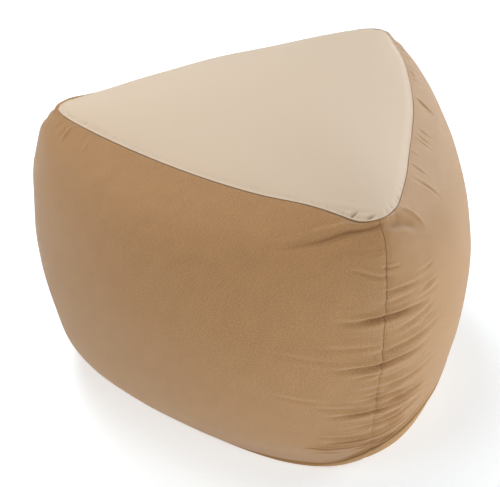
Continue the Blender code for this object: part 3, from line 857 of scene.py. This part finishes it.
def jersey_group():
    """Stitches of a plain knit: columns of small V shapes, each stitch one pitch wide."""
    group, place, result = new_group("Knit stitches", "Pitch", ["Height"])
    axes = add_node(group, "ShaderNodeSeparateXYZ", {0: place}).outputs
    lean = maths(group, "ABSOLUTE", wave(group, axes["X"]))
    row = wave(group, maths(group, "MULTIPLY_ADD", lean, 0.45, axes["Y"]))
    loop = maths(group, "MULTIPLY_ADD", row, 0.35, 0.65)
    group.links.new(maths(group, "MULTIPLY", lean, loop), result["Height"])
    return group


def melange_group():
    """Yarn spun from lighter and darker fibres: short streaks along the rows of stitches, softer
    clouds, and a fine fuzz."""
    group, place, result = new_group("Melange yarn", "Streak", ["Streaks", "Clouds", "Fuzz"])
    squeezed = add_node(
        group, "ShaderNodeVectorMath", {0: place, 1: (0.55, 1.5, 1.0)}, operation="MULTIPLY"
    )
    for label, vector, scale, detail, roughness in (
        ("Streaks", squeezed.outputs[0], 1.0, 3.0, 0.65),
        ("Clouds", place, 0.06, 2.0, 0.5),
        ("Fuzz", place, 4.5, 2.0, 0.7),
    ):
        noise = add_node(group, "ShaderNodeTexNoise", {
            "Vector": vector, "Scale": scale, "Detail": detail, "Roughness": roughness,
        })
        group.links.new(noise.outputs["Fac"], result[label])
    return group


GROUPS = {"Knit stitches": jersey_group, "Melange yarn": melange_group}


def shared_group(tree, name, links):
    """The outputs of a node group by name, which is built the first time that it is needed."""
    group = bpy.data.node_groups.get(name) or GROUPS[name]()
    return add_node(tree, "ShaderNodeGroup", links, node_tree=group).outputs


def spread(tree, value, to_low, to_high):
    """Stretches the middle of a noise's values onto a range."""
    return add_node(tree, "ShaderNodeMapRange", {
        "Value": value, "From Min": 0.3, "From Max": 0.7, "To Min": to_low, "To Max": to_high,
    }).outputs[0]


def blended(tree, factor, first, second):
    """A colour between two, by a factor. Each is a socket or a plain colour."""
    first, second = (
        color if isinstance(color, bpy.types.NodeSocket) else (*color, 1)
        for color in (first, second)
    )
    links = {"Factor": factor, 6: first, 7: second}
    return add_node(tree, "ShaderNodeMix", links, data_type="RGBA").outputs[2]


def scaled_color(color, factor):
    return tuple(min(1.0, channel * factor) for channel in color)


def cloth_material(name, cloth, contrast, bump_height, sheen, roughness):
    """Knitted cloth: melange colour, stitches and fuzz as bump, and a soft sheen, all of which
    give way to the shade in the depths of seams and folds."""
    color = tuple(cloth.color)
    material, tree = new_material(name)
    material.diffuse_color = (*color, 1)
    place = add_node(tree, "ShaderNodeUVMap", uv_map="Cloth").outputs["UV"]
    shade = add_node(tree, "ShaderNodeAttribute", attribute_name="Shade").outputs["Fac"]
    knit = shared_group(tree, "Knit stitches", {"Vector": place, "Pitch": cloth.stitch})
    yarn = shared_group(tree, "Melange yarn", {"Vector": place, "Streak": STREAK})
    tone = maths(tree, "MULTIPLY", yarn["Streaks"], STREAK_SHARE)
    tone = maths(tree, "MULTIPLY_ADD", yarn["Fuzz"], 1 - STREAK_SHARE, tone)
    tone = maths(tree, "SUBTRACT", tone, CLOUD_SHARE / 2)
    tone = maths(tree, "MULTIPLY_ADD", yarn["Clouds"], CLOUD_SHARE, tone)
    dark, light = (scaled_color(color, 1 + way * contrast) for way in (-1, 1))
    melange = blended(tree, spread(tree, tone, 0.0, 1.0), dark, light)
    height = maths(tree, "MULTIPLY_ADD", yarn["Fuzz"], 0.5, knit["Height"])
    grain = add_node(
        tree, "ShaderNodeBump", {"Height": height, "Strength": 0.6, "Distance": bump_height}
    )
    rough = spread(tree, yarn["Streaks"], roughness - 0.05, min(1.0, roughness + 0.05))
    fill_inputs(tree, tree.nodes["Principled BSDF"], {
        "Base Color": blended(tree, shade, melange, SHADE_COLOR),
        "Normal": grain.outputs["Normal"],
        "Roughness": rough,
        "Sheen Weight": maths(tree, "MULTIPLY_ADD", shade, -sheen, sheen),
        "Specular IOR Level": 0.25,
        "Sheen Roughness": 0.38,
        "Sheen Tint": (1.0, 0.96, 0.92, 1),
    })
    return material


# Shapes


def turned_in(rows):
    """Repeats the first and the last of a panel's rows for the cloth turned in past its seams.
    Also gives how deep each row has turned in."""
    extra = np.zeros(len(rows) + 4)
    extra[[0, -1]] = ALLOWANCE
    extra[[1, -2]] = ALLOWANCE / 2
    return np.concatenate([rows[:1], rows[:1], rows, rows[-1:], rows[-1:]]), extra


def panel_directions(number, edge):
    """Directions of a side panel's columns, from its left seam to its right one, with the round
    of each sewn edge and its allowance, and how deep each column has turned in."""
    inner = spaced(COLUMNS[SIDE_PANELS[number]], PANEL_SPAN, np.radians(COLUMN_REACH))
    seam = np.degrees(SEAM_GAP / 2 / EDGE_REACH)
    round_columns = seam + np.degrees(edge_rows(edge) / EDGE_REACH)
    first = round_columns[-1] * CLEAR
    inner = inner[(inner > first) & (inner < PANEL_SPAN - first)]
    across = np.concatenate([round_columns, inner, PANEL_SPAN - round_columns[::-1]])
    across, extra = turned_in(across)
    return CORNERS[number] + np.radians(across), extra


def panel_levels(number, directions, edge):
    """Levels of a side panel's rows, one column for each direction, with its rounded edges and
    allowances, and how deep each row has turned in. The lower rows draw together towards the base
    seam, which the first one follows."""
    seam = all_round(BASE, "seam", directions)
    round_rows = edge_rows(edge)[:, None] / WALL_RUN
    gap = SEAM_GAP / WALL_RUN
    inner = spaced(ROWS[SIDE_PANELS[number]], 1.0, WALL_RUN)
    lowest = CLEAR * round_rows[-1] / (1 - column(BASE, "seam").max() / SQUEEZED) + gap
    highest = 1 - LIP / WALL_RUN - gap - CLEAR * round_rows[-1]
    inner = inner[(inner > lowest) & (inner < highest)][:, None]
    inner = inner + seam * np.maximum(1 - inner / SQUEEZED, 0)
    bottom = seam + gap + round_rows
    top = 1 - LIP / WALL_RUN - gap - round_rows[::-1] + 0 * seam
    return turned_in(np.concatenate([bottom, inner, top]))


def side_panel(number, sides):
    """Points of a side panel, their places on the flat cloth and their shade: the smooth wall
    moved along its normals by the relief, less the round of its sewn edges and allowances."""
    directions, deep_across = panel_directions(number, sides.corner_edge)
    level, deep_up = panel_levels(number, directions, sides.top_edge)
    direction = np.broadcast_to(directions, level.shape)
    following = (number + 1) % 3
    left = read_tape(TAPES[number], turn(direction, CORNERS[number]), level)
    right = -read_tape(TAPES[following], turn(direction, CORNERS[following]), level)
    top = (1 - level) * WALL_RUN - LIP - SEAM_GAP
    bottom = (level - all_round(BASE, "seam", direction)) * WALL_RUN - SEAM_GAP
    # A corner seam's edges are rounder higher up
    corner_edge = sides.corner_edge * np.clip(0.25 + 1.5 * level, 0.45, 1)
    sunk = np.maximum.reduce([
        rounded(np.minimum(left, right) - SEAM_GAP / 2, corner_edge),
        rounded(np.minimum(top, bottom), sides.top_edge),
    ])
    sunk = sunk + np.maximum(deep_across[None, :], deep_up[:, None])
    height, shade = relief(direction, level, sides)
    normal = outward(drawn_skin, direction, level)
    points = drawn_skin(direction, level) + normal * (height - sunk)[..., None]
    return points, np.stack([left, level * WALL_RUN], -1), shade


def rim(direction):
    """The edge of the top panel, where the wall meets the top seam, and the way out of it."""
    level = np.ones_like(direction)
    normal = outward(drawn_skin, direction, level)
    return drawn_skin(direction, level) - normal * TOP_CHANNEL.depth, normal


def dome_terms(points):
    """Terms of the smooth dome at places seen from above: the real and imaginary powers of
    x + iy, which are the shapes of a stretched sheet, and the same times the squared radius,
    which hold up its middle."""
    place = (points[..., 0] + 1j * points[..., 1]) / DOME_REACH
    squared = np.abs(place) ** 2
    powers = [place**n for n in range(DOME_WAVES)]
    terms = [np.ones_like(squared)]
    terms += [part for power in powers[1:] for part in (power.real, power.imag)]
    terms += [squared, squared**2]
    terms += [
        squared * part for power in powers[1:FULL_WAVES] for part in (power.real, power.imag)
    ]
    return np.stack(terms, -1)


def fit_dome():
    """Weights of the dome's terms that give, by least squares, the height of the seam all round
    and the rise of the crown over it inside."""
    direction = np.linspace(-np.pi, np.pi, RIM_PLACES, endpoint=False)
    edge, _ = rim(direction)
    x, y = middle(1.0)
    centre = np.array([x, y])
    shares = np.linspace(0, 0.95, CROWN_RINGS)[:, None]
    spots = centre + (edge[::RIM_SKIP, :2] - centre) * shares[..., None]
    seam = edge[::RIM_SKIP, 2]
    rise = CROWN * (1 - shares**CROWN_FULLNESS) + SEAM_ROLL
    height = seam * shares**2 + SECTIONS[-1].height * (1 - shares**2) + rise
    weight = CROWN_WEIGHT * (1 - shares) ** 0.5 + 0 * height
    inside = dome_terms(spots) * weight[..., None]
    rows = np.concatenate([dome_terms(edge[:, :2]), inside.reshape(-1, inside.shape[-1])])
    heights = np.concatenate([edge[:, 2] + SEAM_ROLL, (height * weight).reshape(-1)])
    return np.linalg.lstsq(rows, heights, rcond=1e-7)[0]


DOME = fit_dome()


def crown(direction, inset, share):
    """The top panel: straight rays from its middle to its rim, at a share of the way out less an
    inset in metres, at the dome's height, less a small roll of cloth down into the seam."""
    edge, _ = rim(direction)
    x, y = middle(np.ones_like(direction))
    centre = np.stack([x, y], -1)
    out = edge[..., :2] - centre
    radius = np.linalg.norm(out, axis=-1)
    share = share * (1 - inset / radius)
    from_seam = (1 - share) * radius
    spot = centre + out * share[..., None]
    height = dome_terms(spot) @ DOME - SEAM_ROLL * bump(from_seam, ROLL_WIDTH)
    return np.concatenate([spot, height[..., None]], -1), from_seam


def top_relief(direction, from_seam):
    """How far the creases stand up from the top panel's crown."""
    height = np.zeros(direction.shape)
    for corner, group in TOP_CREASES.items():
        angle = turn(direction, CORNERS[corner])
        along = read_tape(TAPES[corner], angle, np.ones_like(angle))
        places = np.stack([-along, from_seam], -1).reshape(-1, 2)
        for crease in group:
            points = top_crease_path(crease, corner)
            added = crease_height(places, points, crease.fold, crease.rise, crease.width)
            height = height + added.reshape(direction.shape)
    return height


def bezier(first, second, third, fourth, at):
    """Points along the cubic curve that four control points give."""
    at = at[:, None, None]
    back = 1 - at
    return (
        first * back**3 + 3 * second * back**2 * at + 3 * third * back * at**2 + fourth * at**3
    )


def hidden_body(directions):
    """Rings of the filled body's hidden part: over its flat bottom and up inside the panels."""
    x, y = middle(0.0)
    bottom = np.array([x, y, HIDDEN_FLOOR])
    levels = HIDDEN_LEVELS[:, None] + 0 * directions
    normal = outward(smooth_skin, directions, levels)
    walls = smooth_skin(directions, levels) - BODY_DEPTH * normal
    walls[..., 2] = np.maximum(walls[..., 2], HIDDEN_FLOOR)
    shares = HIDDEN_SHARES[:, None, None]
    floor = bottom + (walls[0] * [1, 1, 0] + [0, 0, HIDDEN_FLOOR] - bottom) * shares
    return bottom, list(floor) + list(walls)


def ring_directions(columns):
    """Directions of the columns of a piece that goes all round, closest at the corners."""
    even = np.linspace(0, FULL_TURN, columns, endpoint=False)
    return CORNERS[0] + even - CORNER_CROWDING / 3 * np.sin(3 * even)


def sewn_edge(directions, drawn, top):
    """Rings of the top panel's sewn edge: from its allowance out into the top seam, over the lip
    and up to where the crown starts."""
    ones = np.ones_like(directions)
    edge, normal = rim(directions)
    edge = edge - drawn
    start, inner = (
        crown(directions, np.full_like(directions, top.edge_width * widths), ones)[0]
        for widths in (1, CLEAR)
    )
    way_out = unit(start - inner)
    start = start - drawn * bump(top.edge_width, GATHER_SPREAD)
    down = unit(drawn_skin(directions, ones - LIP_LEVELS) - drawn_skin(directions, ones))
    lip = edge + down * LIP
    return [lip - normal * ALLOWANCE, *bezier(
        lip - normal * LIP_DEPTH,
        lip + normal * LIP_BULGE + down * EDGE_PUFF,
        start + way_out * top.edge_width * EDGE_START + np.array([0, 0, EDGE_PUFF]),
        start,
        np.linspace(0, 1, EDGE_RINGS),
    )]


def filled_cushion(sides, top):
    """Points, shade and number of rings of the filled body: from the middle of its hidden bottom
    up inside the side panels, round the sewn edge of the top panel and in over the crown."""
    directions = ring_directions(TOP_COLUMNS)
    bottom, rings = hidden_body(directions)
    drawn = rim(directions)[1] * gathers(directions, sides.gather)[:, None]
    rings += sewn_edge(directions, drawn, top)
    near_seam = np.linspace(top.edge_width, TOP_INSETS, SEAM_ROWS)[1:]
    far = np.linspace(1, 0, CROWN_ROWS)[1:-1]
    inset = np.concatenate([near_seam, np.full(len(far), TOP_INSETS)])[:, None] + 0 * directions
    share = np.concatenate([np.ones(len(near_seam)), far])[:, None] + 0 * directions
    direction = np.broadcast_to(directions, inset.shape)
    surface, from_seam = crown(direction, inset, share)
    surface = surface - drawn * bump(from_seam, GATHER_SPREAD)[..., None]
    lift = top_relief(direction, from_seam)
    # Painted shade in the troughs of the top's creases
    pucker_shade = PUCKER_SHADE.strength * np.clip(-lift / PUCKER_SHADE.reach, 0, 1) ** 2
    lift = lift - gathers(direction, top.gather) * bump(from_seam, GATHER_SPREAD)
    loose = 1 - bump(from_seam, TOP_SLACK_SPREAD)
    lift = lift + top.slack * slack(surface * TOP_SLACK_SCALE) * loose
    surface[..., 2] += lift * np.clip((from_seam - top.edge_width) / EDGE_FADE, 0, 1)
    peak, _ = crown(directions[:1], np.full(1, TOP_INSETS), np.zeros(1))
    peak[:, 2] += top.slack * slack(peak * TOP_SLACK_SCALE)
    # The hidden rings and the inner half of the sewn edge lie in shade
    inside = np.arange(len(rings))[::-1]
    dark = np.clip((inside - EDGE_RINGS / 2 + 1) / 3, 0, 0.5)[:, None] + 0 * directions
    shade = np.concatenate([dark.reshape(-1), pucker_shade.reshape(-1), [1, 0]])
    rings += list(surface)
    return np.concatenate([*rings, bottom[None, :], peak]), shade, len(rings)


def base_sheet(sides, base):
    """Points of the base panel: rings from its sewn edge down round the underside to the flat,
    and in over the floor to its middle."""
    directions = ring_directions(BASE_COLUMNS)
    seam = all_round(BASE, "seam", directions)
    edge = edge_rows(base.edge)[::-1, None] / WALL_RUN
    inner = np.linspace(0, 1, BASE_ROWS)[:-1, None]
    highest = seam - (SEAM_GAP + CLEAR * base.edge) / WALL_RUN
    levels = np.concatenate([
        FLAT_LEVEL + (highest - FLAT_LEVEL) * inner,
        seam - SEAM_GAP / WALL_RUN - edge,
    ])
    levels = np.concatenate([levels, levels[-1:], levels[-1:]])
    extra = np.zeros(len(levels))
    extra[-2:] = 0.2 * ALLOWANCE, 0.4 * ALLOWANCE
    direction = np.broadcast_to(directions, levels.shape)
    from_edge = (seam - levels) * WALL_RUN - SEAM_GAP
    height, shade = relief(direction, levels, sides)
    height = height - rounded(from_edge, base.edge) - extra[:, None]
    height[0] = 0
    normal = outward(drawn_skin, direction, levels)
    rings = list(drawn_skin(direction, levels) + normal * height[..., None])
    x, y = middle(0.0)
    hub = np.array([x, y, 0.0])
    shares = np.linspace(0, 1, FLAT_RINGS)[1:-1]
    floor = [hub + (rings[0] - hub) * share for share in shares]
    shade = np.concatenate([np.zeros(len(floor) * BASE_COLUMNS), shade.reshape(-1), [0]])
    return np.concatenate([*floor, *rings, hub[None, :]]), shade, len(floor) + len(rings)


# Settings


def length_setting(name, description, default, least, most):
    return FloatProperty(
        name=name, description=description, unit="LENGTH", default=default, min=least, max=most
    )


def share_setting(name, description, default, least, most):
    return FloatProperty(
        name=name, description=description, subtype="FACTOR", default=default, min=least, max=most
    )


def color_setting(description, default, name="Colour"):
    return FloatVectorProperty(
        name=name, description=description, subtype="COLOR", size=3, min=0, max=1, default=default
    )


def power_setting(name, place, default):
    return FloatProperty(
        name=f"{name} light", description=f"Power of the soft light {place}, in watts",
        unit="POWER", default=default, min=0, max=2000,
    )


class CushionTop(PropertyGroup):
    color: color_setting("Colour of the pale stretch cloth on top", (0.72, 0.580, 0.457))
    edge_width: length_setting(
        "Edge width", "Width of the round of the sewn edge", 0.0019, 0.001, 0.01)
    gather: length_setting(
        "Gathers", "How far the stitches draw the top in along its seam", 0.0013, 0, 0.004)
    slack: length_setting("Slack", "Unevenness of the top over its filling", 0.0006, 0, 0.01)
    stitch: length_setting("Stitch", "Width of one knitted stitch", 0.0007, 0.0003, 0.005)


class CushionSides(PropertyGroup):
    color: color_setting("Colour of the brushed knit on the sides", (0.505, 0.284, 0.133))
    melange: share_setting(
        "Melange", "How much lighter and darker the yarn's fibres are", 0.40, 0, 1)
    fold_depth: share_setting(
        "Fold depth", "Depth of the creases against their table", 1.0, 0, 4)
    fold_width: share_setting(
        "Fold width", "Width of the creases against their table", 1.0, 0.3, 2)
    roll: length_setting(
        "Roll", "How far the slack cloth rolls out on both sides of the base seam",
        0.0032, 0, 0.01)
    gather: length_setting(
        "Gathers", "How far the stitches draw the sides in along the top seam", 0.0007, 0, 0.004)
    slack: length_setting("Slack", "Unevenness of the sides over their filling", 0.0012, 0, 0.01)
    corner_edge: length_setting(
        "Corner edge", "Radius of a side panel's edge at a corner seam", 0.0007, 0.0003, 0.005)
    top_edge: length_setting(
        "Top edge", "Radius of a side panel's edge at the top and base seams",
        0.0009, 0.0005, 0.005)
    stitch: length_setting("Stitch", "Width of one knitted stitch", 0.0011, 0.0003, 0.005)


class CushionBase(PropertyGroup):
    color: color_setting("Colour of the close-woven base cloth", (0.45, 0.26, 0.115))
    edge: length_setting("Edge", "Radius of the base panel's sewn edge", 0.0018, 0.0005, 0.005)
    thickness: length_setting("Thickness", "Thickness of the base cloth", 0.0014, 0.0005, 0.003)
    stitch: length_setting("Thread", "Width of one thread", 0.0008, 0.0003, 0.005)


class CushionStage(PropertyGroup):
    floor_color: color_setting("Colour of the pale floor", (0.71, 0.79, 0.87), "Floor colour")
    floor_shown: FloatProperty(
        name="Floor whiteness", description="Glow of the floor as the camera sees it",
        default=0.55, min=0, max=2,
    )
    floor_bounce: FloatProperty(
        name="Floor bounce", description="Glow of the floor that lights the cushion from below",
        default=0.52, min=0, max=2,
    )
    sky: FloatProperty(
        name="Surround", description="Strength of the even light from all round",
        default=0.03, min=0, max=5,
    )
    key: power_setting("Key", "at the back left", 39)
    overhead: power_setting("Overhead", "overhead", 24)
    left: power_setting("Left", "at the front", 16.5)
    right: power_setting("Right", "low at the right", 28)
    far_right: power_setting("Far right", "behind at the right", 66)
    azimuth: FloatProperty(
        name="Camera azimuth", description="Camera's turn round the cushion, from the front",
        subtype="ANGLE", default=np.radians(35.6913),
    )
    elevation: FloatProperty(
        name="Camera elevation", description="Camera's angle above the floor",
        subtype="ANGLE", default=np.radians(33.2127),
    )
    distance: length_setting(
        "Camera distance", "Distance from the camera to what it looks at", 1.97522, 0.5, 20)


class CushionSettings(PropertyGroup):
    top: PointerProperty(type=CushionTop)
    sides: PointerProperty(type=CushionSides)
    base: PointerProperty(type=CushionBase)
    stage: PointerProperty(type=CushionStage)


# Operators


class MakeFilledBody(Operator):
    """Builds the filled body with its crowned pale top panel"""

    bl_idname = "bead_cushion.make_filled_body"
    bl_label = "Filled body"

    def execute(self, context):
        settings = context.scene.bead_cushion
        points, shade, rings = filled_cushion(settings.sides, settings.top)
        hubs = len(points) - 2
        faces = [
            grid_quads(rings, TOP_COLUMNS, closed=True),
            fan(hubs, 0, TOP_COLUMNS, facing_up=False),
            fan(hubs + 1, (rings - 1) * TOP_COLUMNS, TOP_COLUMNS, facing_up=True),
        ]
        material = cloth_material(
            "Pale stretch cloth", settings.top, contrast=0.025, bump_height=0.00012, sheen=0.12,
            roughness=0.82,
        )
        piece = make_piece("filled_cushion", points, faces, points[:, :2], shade, material)
        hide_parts("filled_body")
        return {"FINISHED"}


class MakeSidePanels(Operator):
    """Builds the three brown side panels with their folds"""

    bl_idname = "bead_cushion.make_side_panels"
    bl_label = "Side panels"

    def execute(self, context):
        sides = context.scene.bead_cushion.sides
        material = cloth_material(
            "Brushed brown knit", sides, contrast=sides.melange, bump_height=0.0005, sheen=0.58,
            roughness=0.9,
        )
        for number, name in enumerate(SIDE_PANELS):
            points, cloth_map, shade = side_panel(number, sides)
            rows, columns = points.shape[:2]
            piece = make_piece(
                f"side_cloth_{name}", points.reshape(-1, 3), [grid_quads(rows, columns)],
                cloth_map.reshape(-1, 2), shade.reshape(-1), material,
            )
            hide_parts(f"side_panel_{name}")
        return {"FINISHED"}


class MakeBasePanel(Operator):
    """Builds the base panel under the cushion"""

    bl_idname = "bead_cushion.make_base_panel"
    bl_label = "Base panel"

    def execute(self, context):
        settings = context.scene.bead_cushion
        base = settings.base
        points, shade, rings = base_sheet(settings.sides, base)
        faces = [
            grid_quads(rings, BASE_COLUMNS, closed=True),
            fan(len(points) - 1, 0, BASE_COLUMNS, facing_up=False),
        ]
        material = cloth_material(
            "Close brown base cloth", base, contrast=0.08, bump_height=0.0002, sheen=0.08,
            roughness=0.85,
        )
        piece = make_piece("base_cloth", points, faces, points[:, :2], shade, material)
        thick = piece.modifiers.new("Thickness", "SOLIDIFY")
        thick.thickness = base.thickness
        thick.offset = -1
        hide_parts("base_panel")
        return {"FINISHED"}


class MakeStage(Operator):
    """Builds the pale floor, the soft lights and the camera"""

    bl_idname = "bead_cushion.make_stage"
    bl_label = "Floor, lights and camera"

    def execute(self, context):
        stage = context.scene.bead_cushion.stage
        make_floor(stage)
        make_surround(stage)
        make_lights(stage)
        make_camera(stage)
        context.scene.view_settings.view_transform = "Standard"
        return {"FINISHED"}


def make_floor(stage):
    """Lays a square floor that glows white for the camera and warm for the cushion."""
    mesh = bpy.data.meshes.new("floor")
    half = FLOOR_WIDTH / 2
    corners = [(-half, -half, 0), (half, -half, 0), (half, half, 0), (-half, half, 0)]
    mesh.from_pydata(corners, [], [(0, 1, 2, 3)])
    material, tree = new_material("Pale studio floor")
    place = add_node(tree, "ShaderNodeTexCoord").outputs["Object"]
    noise = add_node(tree, "ShaderNodeTexNoise", {"Vector": place, "Scale": 3.0, "Detail": 2.0})
    color = tuple(stage.floor_color)
    seen = add_node(tree, "ShaderNodeLightPath").outputs["Is Camera Ray"]
    shown, bounce = stage.floor_shown, stage.floor_bounce
    fill_inputs(tree, tree.nodes["Principled BSDF"], {
        "Base Color": blended(tree, noise.outputs["Fac"], scaled_color(color, 0.995), color),
        "Emission Color": blended(tree, seen, WARM, (0.98, 0.99, 1.0)),
        "Emission Strength": maths(tree, "MULTIPLY_ADD", seen, shown - bounce, bounce),
        "Roughness": 0.9,
        "Specular IOR Level": 0.1,
    })
    mesh.materials.append(material)
    floor = place_object("floor", mesh)


def make_surround(stage):
    """An even weak light from all round, which the camera sees as white."""
    world = bpy.data.worlds.new("White surround")
    world.use_nodes = True
    tree = world.node_tree
    white = (1, 1, 1, 1)
    surround = tree.nodes["Background"]
    fill_inputs(tree, surround, {"Color": white, "Strength": stage.sky})
    seen = add_node(tree, "ShaderNodeBackground", {"Color": white, "Strength": 1.0})
    path = add_node(tree, "ShaderNodeLightPath")
    mixed = add_node(tree, "ShaderNodeMixShader", {
        0: path.outputs["Is Camera Ray"], 1: surround.outputs[0], 2: seen.outputs[0],
    })
    fill_inputs(tree, tree.nodes["World Output"], {"Surface": mixed.outputs[0]})
    bpy.context.scene.world = world


def make_lights(stage):
    """Stands the soft lights round the cushion, with their faces towards it."""
    for row in LIGHTS:
        data = bpy.data.lights.new(row.name, "AREA")
        data.energy = getattr(stage, row.power)
        data.color = row.tint
        data.size = LIGHT_WIDTH
        light = place_object(row.name, data)
        around, up = np.radians([row.azimuth, row.elevation])
        away = Vector((np.cos(around) * np.cos(up), np.sin(around) * np.cos(up), np.sin(up)))
        light.location = Vector((0, 0, LIT_HEIGHT)) + LIGHT_DISTANCE * away
        light.rotation_euler = away.to_track_quat("Z", "Y").to_euler()


def make_camera(stage):
    """Stands the camera at the photograph's angle: back points from the cushion to it, right and
    above are the picture's axes, turned by a small roll."""
    azimuth, elevation = stage.azimuth, stage.elevation
    back = np.array([
        np.sin(azimuth) * np.cos(elevation),
        -np.cos(azimuth) * np.cos(elevation),
        np.sin(elevation),
    ])
    right = np.array([np.cos(azimuth), np.sin(azimuth), 0])
    above = np.cross(back, right)
    target = AIM_RIGHT * right + np.array([0, 0, AIM_HEIGHT])
    eye = target + back * stage.distance
    rolled = (
        np.cos(CAMERA_ROLL) * right - np.sin(CAMERA_ROLL) * above,
        np.sin(CAMERA_ROLL) * right + np.cos(CAMERA_ROLL) * above,
    )
    data = bpy.data.cameras.new("camera")
    data.lens = LENS
    data.sensor_width = 36.0
    camera = place_object("camera", data)
    turned = Matrix(np.stack([*rolled, back], -1).tolist()).to_4x4()
    camera.matrix_world = Matrix.Translation(Vector(eye)) @ turned
    bpy.context.scene.camera = camera


class CushionPanel(Panel):
    """Lists the cushion's pieces and their settings"""

    bl_idname = "VIEW3D_PT_bead_cushion"
    bl_label = "Bead cushion"
    bl_space_type = "VIEW_3D"
    bl_region_type = "UI"
    bl_category = "Cushion"

    def draw(self, context):
        settings = context.scene.bead_cushion
        for operator, group in (
            (MakeFilledBody, settings.top),
            (MakeSidePanels, settings.sides),
            (MakeBasePanel, settings.base),
            (MakeStage, settings.stage),
        ):
            box = self.layout.box()
            for name in group.__annotations__:
                box.prop(group, name)
            box.operator(operator.bl_idname)


CLASSES = (
    CushionTop, CushionSides, CushionBase, CushionStage, CushionSettings,
    MakeFilledBody, MakeSidePanels, MakeBasePanel, MakeStage, CushionPanel,
)


def register():
    for cls in CLASSES:
        bpy.utils.register_class(cls)
    bpy.types.Scene.bead_cushion = PointerProperty(type=CushionSettings)


def unregister():
    del bpy.types.Scene.bead_cushion
    for cls in reversed(CLASSES):
        bpy.utils.unregister_class(cls)


def main():
    register()
    bpy.ops.bead_cushion.make_filled_body()
    bpy.ops.bead_cushion.make_side_panels()
    bpy.ops.bead_cushion.make_base_panel()
    bpy.ops.bead_cushion.make_stage()


if __name__ == "__main__":
    main()
